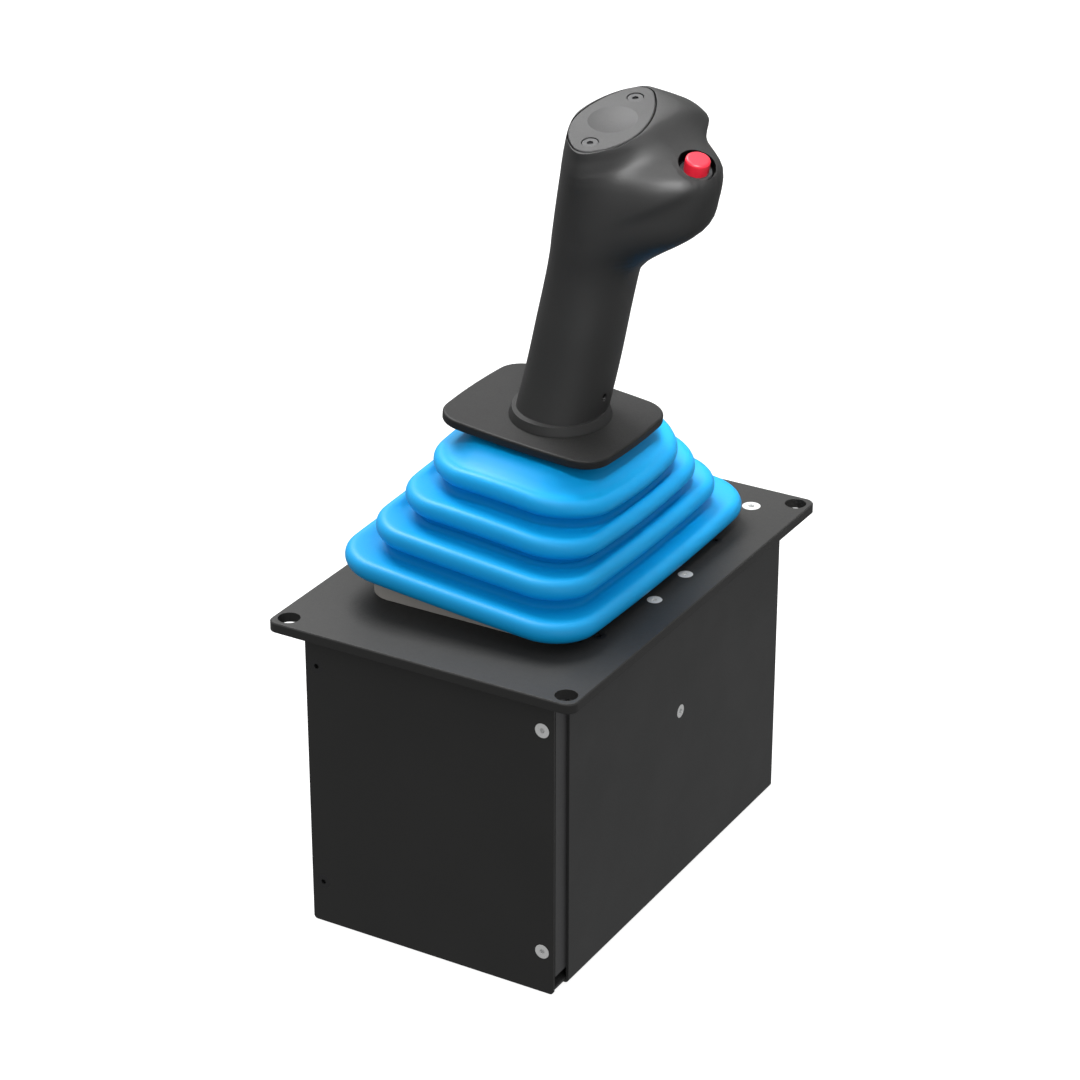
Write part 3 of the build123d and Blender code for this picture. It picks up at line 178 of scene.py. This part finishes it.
def makeToneGroup():
    group, given, out = newGroup(
        "toneAndDust",
        {
            "Tone A": "NodeSocketColor",
            "Tone B": "NodeSocketColor",
            "Dust Colour": "NodeSocketColor",
            "Patch Scale": "NodeSocketFloat",
            "Dust": "NodeSocketFloat",
        },
        {"Colour": "NodeSocketColor"},
    )
    where = addNode(group, "ShaderNodeTexCoord").outputs["Object"]
    patch = addNode(
        group, "ShaderNodeTexNoise",
        {"Vector": where, "Scale": given.outputs["Patch Scale"], "Detail": toneLook["patchDetail"]},
    )
    tone = mixColours(group, patch.outputs["Fac"], given.outputs["Tone A"], given.outputs["Tone B"])
    facing = addNode(group, "ShaderNodeNewGeometry")
    split = addNode(group, "ShaderNodeSeparateXYZ", {"Vector": facing.outputs["Normal"]})
    upward = addNode(
        group, "ShaderNodeMapRange",
        {
            "Value": split.outputs["Z"], "From Min": toneLook["dustFromUpward"], "From Max": 1.0,
            "To Min": 0.0, "To Max": 1.0,
        },
    )
    speck = addNode(
        group, "ShaderNodeTexNoise",
        {"Vector": where, "Scale": toneLook["speckScale"], "Detail": toneLook["speckDetail"]},
    )
    settled = multiply(group, upward.outputs["Result"], speck.outputs["Fac"])
    amount = multiply(group, settled, given.outputs["Dust"])
    group.links.new(mixColours(group, amount, tone, given.outputs["Dust Colour"]), out.inputs["Colour"])
    return group


fineGrain = makeGrainGroup()
toneAndDust = makeToneGroup()

# One entry for each of the record's finishes: two tones, the range of roughness, the grain's
# scale, and the grain's height and the softened edge's radius in millimetres.
finishes = {
    "black_plate": {
        "a": (0.02, 0.02, 0.0196), "b": (0.026, 0.026, 0.0255), "rough": (0.42, 0.52),
        "grain": 1500, "height": 0.03, "edge": 0.5, "dust": 0.03, "gloss": 0.24,
    },
    "black_sheet": {
        "a": (0.025, 0.0255, 0.0255), "b": (0.032, 0.0325, 0.0325), "rough": (0.45, 0.55),
        "grain": 1500, "height": 0.03, "edge": 0.4, "dust": 0.03, "gloss": 0.35,
    },
    "dark_frame": {
        "a": (0.03, 0.03, 0.031), "b": (0.045, 0.045, 0.047), "rough": (0.4, 0.5),
        "grain": 900, "height": 0.03, "edge": 0.3, "dust": 0.02,
    },
    "milled_aluminium": {
        "a": (0.55, 0.56, 0.58), "b": (0.66, 0.67, 0.69), "rough": (0.28, 0.42),
        "grain": 600, "height": 0.02, "edge": 0.3, "metal": 1.0,
    },
    "turned_aluminium": {
        "a": (0.6, 0.61, 0.63), "b": (0.74, 0.74, 0.76), "rough": (0.22, 0.36),
        "grain": 800, "height": 0.02, "edge": 0.2, "metal": 1.0,
    },
    "ground_steel": {
        "a": (0.5, 0.5, 0.52), "b": (0.66, 0.66, 0.68), "rough": (0.16, 0.28),
        "grain": 1200, "height": 0.01, "edge": 0.2, "metal": 1.0,
    },
    "steel_tube": {
        "a": (0.42, 0.42, 0.44), "b": (0.56, 0.56, 0.58), "rough": (0.25, 0.38),
        "grain": 1000, "height": 0.01, "edge": 0.2, "metal": 1.0,
    },
    "bright_screws": {
        "a": (0.66, 0.67, 0.67), "b": (0.78, 0.78, 0.775), "rough": (0.34, 0.46),
        "grain": 1800, "height": 0.008, "edge": 0.15, "metal": 0.3,
    },
    "black_screws": {
        "a": (0.008, 0.008, 0.009), "b": (0.016, 0.016, 0.017), "rough": (0.36, 0.48),
        "grain": 1500, "height": 0.01, "edge": 0.15, "gloss": 0.4,
    },
    "motor_body": {
        "a": (0.02, 0.02, 0.021), "b": (0.035, 0.035, 0.037), "rough": (0.35, 0.5),
        "grain": 900, "height": 0.03, "edge": 0.4,
    },
    "black_plastic": {
        "a": (0.018, 0.018, 0.019), "b": (0.028, 0.028, 0.03), "rough": (0.42, 0.55),
        "grain": 1400, "height": 0.03, "edge": 0.3,
    },
    "belt_rubber": {
        "a": (0.012, 0.012, 0.012), "b": (0.022, 0.022, 0.022), "rough": (0.6, 0.75),
        "grain": 1600, "height": 0.05, "edge": 0.2,
    },
    "beige_frame": {
        "a": (0.38, 0.365, 0.34), "b": (0.45, 0.43, 0.4), "rough": (0.55, 0.7),
        "grain": 1100, "height": 0.04, "edge": 0.4, "dust": 0.05,
    },
    "blue_rubber": {
        "a": (0.0, 0.3, 0.655), "b": (0.0, 0.34, 0.73), "rough": (0.42, 0.54),
        "grain": 700, "height": 0.03, "edge": 0.0, "gloss": 0.3,
        # Painted shade: the darker blue laid into the folds' valleys.
        "paintedShadeColour": (0.0, 0.22, 0.52),
    },
    "rest_plastic": {
        "a": (0.007, 0.007, 0.007), "b": (0.01, 0.01, 0.01), "rough": (0.44, 0.56),
        "grain": 1500, "height": 0.04, "edge": 0.4, "dust": 0.02, "gloss": 0.25,
    },
    "grip_plastic": {
        "a": (0.0075, 0.0075, 0.0075), "b": (0.0115, 0.0115, 0.0115), "rough": (0.48, 0.58),
        "grain": 1600, "height": 0.03, "edge": 0.5, "dust": 0.02, "gloss": 0.36,
        # Painted shade: near black laid into the button's recess.
        "paintedShadeColour": (0.001, 0.001, 0.001),
    },
    "face_plastic": {
        "a": (0.026, 0.026, 0.0265), "b": (0.033, 0.033, 0.0335), "rough": (0.48, 0.6),
        "grain": 1600, "height": 0.05, "edge": 0.3, "dust": 0.03, "gloss": 0.3,
    },
    "red_plastic": {
        "a": (0.5, 0.008, 0.024), "b": (0.57, 0.012, 0.029), "rough": (0.34, 0.46),
        "grain": 1200, "height": 0.02, "edge": 0.2,
    },
    "green_board": {
        "a": (0.01, 0.11, 0.045), "b": (0.014, 0.15, 0.06), "rough": (0.3, 0.42),
        "grain": 500, "height": 0.03, "edge": 0.1,
    },
}
# The last share is how much shine stays where painted shade lies.
plainFinish = {"dust": 0.0, "metal": 0.0, "gloss": 0.5, "paintedShadeGlossShare": 0.15}


def placeGroup(tree, group, values):
    node = addNode(tree, "ShaderNodeGroup", node_tree=group)
    for label, value in values.items():
        node.inputs[label].default_value = value
    return node


def makeFinish(slot, entry):
    spec = {**plainFinish, **entry}
    material = bpy.data.materials.new(slot)
    material.use_nodes = True
    tree = material.node_tree
    shader = tree.nodes["Principled BSDF"]
    tone = placeGroup(
        tree, toneAndDust,
        {
            "Tone A": (*spec["a"], 1), "Tone B": (*spec["b"], 1),
            "Dust Colour": (*toneLook["dustColour"], 1), "Patch Scale": toneLook["patchScale"],
            "Dust": spec["dust"],
        },
    )
    grain = placeGroup(
        tree, fineGrain,
        {
            "Scale": spec["grain"], "Height": spec["height"] * mm, "Edge Radius": spec["edge"] * mm,
            "Rough Low": spec["rough"][0], "Rough High": spec["rough"][1],
        },
    )
    colour = tone.outputs["Colour"]
    shader.inputs["Metallic"].default_value = spec["metal"]
    shader.inputs["Specular IOR Level"].default_value = spec["gloss"]
    if "paintedShadeColour" in spec:
        # Painted shade: a darker colour and less shine in folds and recesses, where shade falls, by the share that
        # the mesh carries.
        shadeShare = addNode(tree, "ShaderNodeAttribute", attribute_name="paintedShade").outputs["Fac"]
        colour = mixColours(tree, shadeShare, colour, (*spec["paintedShadeColour"], 1))
        shadedGloss = addNode(
            tree, "ShaderNodeMapRange",
            {
                "Value": shadeShare, "To Min": spec["gloss"],
                "To Max": spec["gloss"] * spec["paintedShadeGlossShare"],
            },
        )
        tree.links.new(shadedGloss.outputs["Result"], shader.inputs["Specular IOR Level"])
    tree.links.new(colour, shader.inputs["Base Color"])
    tree.links.new(grain.outputs["Roughness"], shader.inputs["Roughness"])
    tree.links.new(grain.outputs["Normal"], shader.inputs["Normal"])
    return material


materials = {slot: makeFinish(slot, entry) for slot, entry in finishes.items()}
slotOf = {entry["node"]: entry["material_slot"] for entry in frame["record"]["subparts"]}
for node, obj in frame["nodes"].items():
    obj.data.materials.clear()
    obj.data.materials.append(materials[slotOf[node]])
print("finishes:", len(materials))


def newPiece(name, bm, slot, body):
    # A piece without a body here is blended between two of them later.
    mesh = bpy.data.meshes.new(name)
    for face in bm.faces:
        face.smooth = True
    bm.to_mesh(mesh)
    bm.free()
    obj = bpy.data.objects.new(name, mesh)
    bpy.context.scene.collection.objects.link(obj)
    mesh.materials.append(materials[slot])
    if body:
        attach(obj, body)
    return obj


def plan(halfX, halfY, cornerR, bowX=0.0, bowY=0.0, shiftX=0.0, shiftY=0.0, sag=0.0):
    return {
        "halfX": halfX, "halfY": halfY, "cornerR": cornerR, "bowX": bowX, "bowY": bowY,
        "shiftX": shiftX, "shiftY": shiftY, "sag": sag,
    }


# The boot's plans run from the lowest fold up: the upper folds are rounder and hang toward the lean. Levels are
# along the stick from its pivot. A point of the roll, the wall or the deck is an inset from the plan, a rise from
# the crest's level, and a share of painted shade, which darkens the folds' valleys where shade falls.
boot = {
    "folds": (
        plan(70.8, 97.5, 25.0, bowX=2.2, bowY=1.0, shiftX=0.8),
        plan(61.4, 84.5, 24.0, bowX=2.6, bowY=2.0, shiftX=0.8, shiftY=-1.5, sag=0.8),
        plan(55.4, 73.0, 26.0, bowX=3.8, bowY=2.6, shiftX=1.2, shiftY=-0.5, sag=2.6),
        plan(51.0, 62.0, 29.0, bowX=6.0, bowY=4.0, shiftX=2.0, sag=3.6),
    ),
    "lip": plan(54.0, 81.0, 13.0),
    "crown": plan(30.5, 32.5, 13.0),
    "firstFold": 42.6,
    "pitch": 15.2,
    "lipLevel": 34.1,
    "lipPaintedShade": 0.6,
    "crownLevel": 100.9,
    "roll": (
        (5.6, -6.0, 0.7), (4.2, -5.9, 0.4), (2.3, -5.0, 0.12), (0.6, -3.0, 0.0), (0.0, -0.5, 0.0),
        (0.4, 2.0, 0.0), (1.7, 4.0, 0.0), (3.8, 4.9, 0.0), (6.2, 4.6, 0.04),
    ),
    "wall": ((2.8, 3.6, 0.25), (5.2, 3.8, 0.85), (6.0, 6.4, 1.0)),
    "deck": (10.0, 6.4, 0.7),
    "cornerFollow": 0.75,
    "cornerSteps": 10,
    "sideCuts": 12,
    "skin": 1.5,
    "overlap": 1.7,
}


def roundedLoop(bm, outline, inset, level, paintedShade):
    # A circle whose four quarters are drawn apart to the corners of a rounded rectangle,
    # and whose corners then draw in a little, which bows the sides.
    halfX = outline["halfX"] - inset
    halfY = outline["halfY"] - inset
    cornerR = outline["cornerR"] - inset * boot["cornerFollow"]
    steps = boot["cornerSteps"]
    turn = Matrix.Rotation(math.pi / (4 * steps), 4, "Z")
    verts = bmesh.ops.create_circle(bm, segments=4 * steps, radius=cornerR * mm, matrix=turn)["verts"]
    quarters = {
        (signX, signY): [v for v in verts if v.co.x * signX > 0 and v.co.y * signY > 0]
        for signX in (-1, 1) for signY in (-1, 1)
    }
    for (signX, signY), quarter in quarters.items():
        shift = Vector((signX * (halfX - cornerR), signY * (halfY - cornerR), level))
        bmesh.ops.translate(bm, verts=quarter, vec=shift * mm)
    quarterOf = {v: key for key, quarter in quarters.items() for v in quarter}
    edges = list(dict.fromkeys(e for v in verts for e in v.link_edges))
    sides = [e for e in edges if quarterOf[e.verts[0]] != quarterOf[e.verts[1]]]
    corners = [e for e in edges if e not in sides]
    made = bmesh.ops.subdivide_edges(bm, edges=sides, cuts=boot["sideCuts"])["geom"]
    loop = list(dict.fromkeys(e for e in [*corners, *made] if isinstance(e, bmesh.types.BMEdge)))
    # Each point carries its share of painted shade, which darkens the folds' valleys.
    shade = bm.verts.layers.float["paintedShade"]
    for vert in dict.fromkeys(v for e in loop for v in e.verts):
        awayX = vert.co.x / (halfX * mm)
        awayY = vert.co.y / (halfY * mm)
        vert.co.x += (outline["shiftX"] - awayX * awayY * awayY * outline["bowX"]) * mm
        vert.co.y += (outline["shiftY"] - awayY * awayX * awayX * outline["bowY"]) * mm
        vert.co.z -= awayX * awayX * outline["sag"] * mm
        vert[shade] = paintedShade
    return loop


def stations(outline, index, points):
    level = boot["firstFold"] + index * boot["pitch"]
    return [(outline, inset, level + rise, paintedShade) for inset, rise, paintedShade in points]


def rollStations(index):
    # From the underside of one fold, round its crest, to the start of its deck.
    return stations(boot["folds"][index], index, boot["roll"])


def wallStations(index):
    # The end of a fold's deck, and the wall that stands in it below the next fold.
    return stations(boot["folds"][index + 1], index, boot["wall"])


def buildBoot(name, rings):
    bm = bmesh.new()
    # The share of painted shade that each point of the boot carries.
    bm.verts.layers.float.new("paintedShade")
    loops = [roundedLoop(bm, *ring) for ring in rings]
    for lower, upper in zip(loops, loops[1:]):
        bmesh.ops.bridge_loops(bm, edges=lower + upper)
    bmesh.ops.recalc_face_normals(bm, faces=bm.faces)
    bmesh.ops.transform(bm, matrix=stickMatrix(), verts=bm.verts)
    obj = newPiece(name, bm, "blue_rubber", None)
    skin = obj.modifiers.new("skin", "SOLIDIFY")
    skin.thickness = boot["skin"] * mm
    skin.offset = -1
    rounded = obj.modifiers.new("rounded", "SUBSURF")
    rounded.levels = rounded.render_levels = 1
    return obj


# The two halves meet on the wall below the third fold, and the upper half starts inside the lower.
seamWall = wallStations(1)[-1]
hidden = (seamWall[0], seamWall[1] + boot["overlap"], seamWall[2] - 2 * boot["overlap"], seamWall[3])
lowerStations = [
    (boot["lip"], 0.0, boot["lipLevel"], boot["lipPaintedShade"]),
    *rollStations(0), *wallStations(0),
    *rollStations(1), *wallStations(1),
]
upperStations = [
    hidden, seamWall,
    *rollStations(2), *wallStations(2),
    *rollStations(3), *stations(boot["folds"][3], 3, [boot["deck"]]),
    (boot["crown"], 0.0, boot["crownLevel"], boot["deck"][2]),
]
bootLower = buildBoot("bootLower", lowerStations)
bootUpper = buildBoot("bootUpper", upperStations)
alongStick = stickMatrix().to_3x3() @ Vector((0, 0, mm))
seam = stickFrame["pivot"] + alongStick * hidden[2]
foot = stickFrame["pivot"] + alongStick * boot["lipLevel"]
crown = stickFrame["pivot"] + alongStick * boot["crownLevel"]
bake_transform(bootLower, "housing", "gimbal", start=foot, end=seam)
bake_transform(bootUpper, "gimbal", "stick", start=stickFrame["pivot"] + alongStick * seamWall[2], end=crown)
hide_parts("bellows")
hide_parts("bellows")
print("boot built")


# The soft ridge under the thumb's rest, in the stick's frame: its two ends, and which way it faces.
# Spans and fades are shares of the way from its high end to its low one.
ridge = {
    "high": (53.7, 21.2, 235.0),
    "low": (16.7, -1.5, 210.7),
    "outward": (0.38, -0.88, 0.2),
    "rise": 1.3,
    "widthAbove": 12.0,
    "widthBelow": 4.2,
    "reach": 26.0,
    "span": (-0.3, 1.35),
    "fadeIn": (-0.12, 0.2),
    "fadeOut": (0.5, 1.15),
    "leastFacing": 0.1,
    "clearOfButton": 11.0,
    "cuts": 3,
    "smoothing": 8,
    "easing": 0.5,
}


def smoothStep(value, low, high):
    share = min(max((value - low) / (high - low), 0.0), 1.0)
    return share * share * (3 - 2 * share)


def raiseRidge(bm, centre, axis):
    # Finer faces round the ridge, eased together, then lifted: slow above its line and steep below.
    toStick = stickMatrix()
    high = toStick @ (Vector(ridge["high"]) * mm)
    low = toStick @ (Vector(ridge["low"]) * mm)
    outward = (toStick.to_3x3() @ Vector(ridge["outward"])).normalized()
    along = low - high
    upward = outward.cross(along).normalized()
    if upward.z < 0:
        upward.negate()

    def near(vert):
        away = vert.co - high
        beside = vert.co - centre
        return (
            abs(away.dot(upward)) < ridge["reach"] * mm
            and ridge["span"][0] < away.dot(along) / along.length_squared < ridge["span"][1]
            and vert.normal.dot(outward) > ridge["leastFacing"]
            and (beside - axis * beside.dot(axis)).length > ridge["clearOfButton"] * mm
        )

    bm.normal_update()
    chosen = {v for v in bm.verts if near(v)}
    edges = [e for e in bm.edges if e.verts[0] in chosen and e.verts[1] in chosen]
    bmesh.ops.subdivide_edges(bm, edges=edges, cuts=ridge["cuts"], use_grid_fill=True)
    # Faces with extra corners, where fine ones meet coarse ones, are cut up, and points with only
    # three edges stay where they are.
    bmesh.ops.triangulate(bm, faces=[f for f in bm.faces if len(f.verts) > 4])
    bm.normal_update()
    region = [v for v in bm.verts if near(v) and len(v.link_edges) > 3]
    for _ in range(ridge["smoothing"]):
        bmesh.ops.smooth_vert(
            bm, verts=region, factor=ridge["easing"],
            use_axis_x=True, use_axis_y=True, use_axis_z=True,
        )
    bm.normal_update()
    lifts = {}
    for vert in region:
        away = vert.co - high
        travel = away.dot(along) / along.length_squared
        over = away.dot(upward) / mm
        width = ridge["widthAbove"] if over > 0 else ridge["widthBelow"]
        fade = smoothStep(travel, *ridge["fadeIn"]) * (1 - smoothStep(travel, *ridge["fadeOut"]))
        lifts[vert] = vert.normal * ridge["rise"] * fade * math.exp(-((over / width) ** 2)) * mm
    for vert, lift in lifts.items():
        vert.co += lift


# The grip: seams closer than the merge distance close up, and the recess's size picks its faces.
gripSkin = {"mergeDistance": 1e-6, "sharpDegrees": 38.0, "recessR": 9.5, "recessDepth": 9.0}


def buildGrip():
    # The solid's own surface, merged and shaded smooth across the seams of its loft. The walls and floor of the
    # button's recess carry a share of painted shade that the finish reads, which paints the recess dark.
    button = next(joint for joint in frame["joints"] if joint["name"] == "button_press")
    axis = Vector(button["axis"]).normalized()
    cap = frame["nodes"]["button_cap"]
    corners = [cap.matrix_world @ Vector(corner) for corner in cap.bound_box]
    centre = sum(corners, Vector()) / len(corners)
    solid = frame["nodes"]["grip"]
    bm = bmesh.new()
    bm.from_mesh(solid.data)
    bmesh.ops.transform(bm, matrix=solid.matrix_world, verts=bm.verts)
    bmesh.ops.remove_doubles(bm, verts=bm.verts, dist=gripSkin["mergeDistance"])
    bmesh.ops.dissolve_degenerate(bm, edges=bm.edges, dist=gripSkin["mergeDistance"])
    raiseRidge(bm, centre, axis)
    # Painted shade: faces inside the button's recess get the full share, which paints them near black.
    shade = bm.faces.layers.float.new("paintedShade")
    for face in bm.faces:
        apart = [vert.co - centre for vert in face.verts]
        beside = max((away - axis * away.dot(axis)).length for away in apart)
        along = max(abs(away.dot(axis)) for away in apart)
        inside = beside < gripSkin["recessR"] * mm and along < gripSkin["recessDepth"] * mm
        face[shade] = 1.0 if inside else 0.0
    sharp = math.radians(gripSkin["sharpDegrees"])
    for edge in bm.edges:
        shares = {face[shade] for face in edge.link_faces}
        edge.smooth = len(shares) == 1 and edge.calc_face_angle(0.0) < sharp
    obj = newPiece("gripShell", bm, "grip_plastic", "stick")
    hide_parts("grip")


buildGrip()
print("grip built")

# A pale floor that glows enough to vanish into the background.
paper = {"half": 6.0, "colour": (0.3, 0.3, 0.3), "roughness": 0.9, "lift": 0.86}


def buildFloor():
    material = bpy.data.materials.new("palePaper")
    material.use_nodes = True
    shader = material.node_tree.nodes["Principled BSDF"]
    shader.inputs["Base Color"].default_value = (*paper["colour"], 1)
    shader.inputs["Roughness"].default_value = paper["roughness"]
    shader.inputs["Emission Color"].default_value = (1, 1, 1, 1)
    shader.inputs["Emission Strength"].default_value = paper["lift"]
    bm = bmesh.new()
    bmesh.ops.create_grid(bm, x_segments=1, y_segments=1, size=paper["half"])
    mesh = bpy.data.meshes.new("floor")
    bm.to_mesh(mesh)
    bm.free()
    mesh.materials.append(material)
    floor = bpy.data.objects.new("floor", mesh)
    bpy.context.scene.collection.objects.link(floor)
    floor.visible_diffuse = False
    floor.visible_glossy = False


# Soft light from above, brighter toward the top of the sky than at its rim.
sky = {"rim": -0.1, "top": 1.0, "rimStrength": 0.34, "topStrength": 1.15}


def buildSky():
    world = bpy.data.worlds.new("softRoom")
    bpy.context.scene.world = world
    world.use_nodes = True
    tree = world.node_tree
    looking = addNode(tree, "ShaderNodeTexCoord")
    height = addNode(tree, "ShaderNodeSeparateXYZ", {"Vector": looking.outputs["Object"]})
    glow = addNode(
        tree, "ShaderNodeMapRange",
        {
            "Value": height.outputs["Z"], "From Min": sky["rim"], "From Max": sky["top"],
            "To Min": sky["rimStrength"], "To Max": sky["topStrength"],
        },
    )
    tree.links.new(glow.outputs["Result"], tree.nodes["Background"].inputs["Strength"])
    tree.nodes["Background"].inputs["Color"].default_value = (1, 1, 1, 1)


# Round lamps, in metres, watts and degrees. The narrow one brings out the grip's thumb shelf.
lamps = {
    "keyLight": {
        "place": (-1.25, 0.75, 2.3), "target": (0, 0, 0.2), "size": 1.5, "power": 72.0, "spread": 180.0,
    },
    "sideLight": {
        "place": (1.6, -1.0, 0.7), "target": (0.02, 0.02, 0.3), "size": 1.6, "power": 4.0, "spread": 180.0,
    },
    "headLight": {
        "place": (0.22, -0.22, 0.72), "target": (0.05, 0.0, 0.385), "size": 0.12, "power": 0.16,
        "spread": 30.0,
    },
}


def addLamp(name, lamp):
    data = bpy.data.lights.new(name, "AREA")
    data.shape = "DISK"
    data.size = lamp["size"]
    data.energy = lamp["power"]
    data.spread = math.radians(lamp["spread"])
    obj = bpy.data.objects.new(name, data)
    bpy.context.scene.collection.objects.link(obj)
    obj.location = lamp["place"]
    toward = Vector(lamp["target"]) - Vector(lamp["place"])
    obj.rotation_euler = toward.to_track_quat("-Z", "Y").to_euler()


buildFloor()
buildSky()
for name, lamp in lamps.items():
    addLamp(name, lamp)
bpy.context.scene.view_settings.view_transform = "Standard"
print("studio lit")

# The photo's view: angles in degrees, distance in metres, shifts and height in millimetres.
view = {
    "azimuth": 30.229,
    "elevation": 26.067,
    "distance": 1.6593,
    "shiftRight": 5.566,
    "shiftUp": -9.32,
    "aimHeight": 168.5,
    "lens": 110.8,
    "sensorWidth": 36.0,
}


def placeCamera():
    azimuth = math.radians(view["azimuth"])
    elevation = math.radians(view["elevation"])
    level = Vector((math.sin(azimuth), -math.cos(azimuth), 0)) * math.cos(elevation)
    back = level + Vector((0, 0, math.sin(elevation)))
    right = (-back).cross(Vector((0, 0, 1))).normalized()
    up = right.cross(-back)
    data = bpy.data.cameras.new("camera")
    data.lens = view["lens"]
    data.sensor_width = view["sensorWidth"]
    camera = bpy.data.objects.new("camera", data)
    bpy.context.scene.collection.objects.link(camera)
    aim = Vector((0, 0, view["aimHeight"] * mm))
    place = aim + back * view["distance"] - right * view["shiftRight"] * mm - up * view["shiftUp"] * mm
    camera.matrix_world = Matrix.Translation(place) @ Matrix((right, up, back)).transposed().to_4x4()
    bpy.context.scene.camera = camera


placeCamera()
print("camera set")
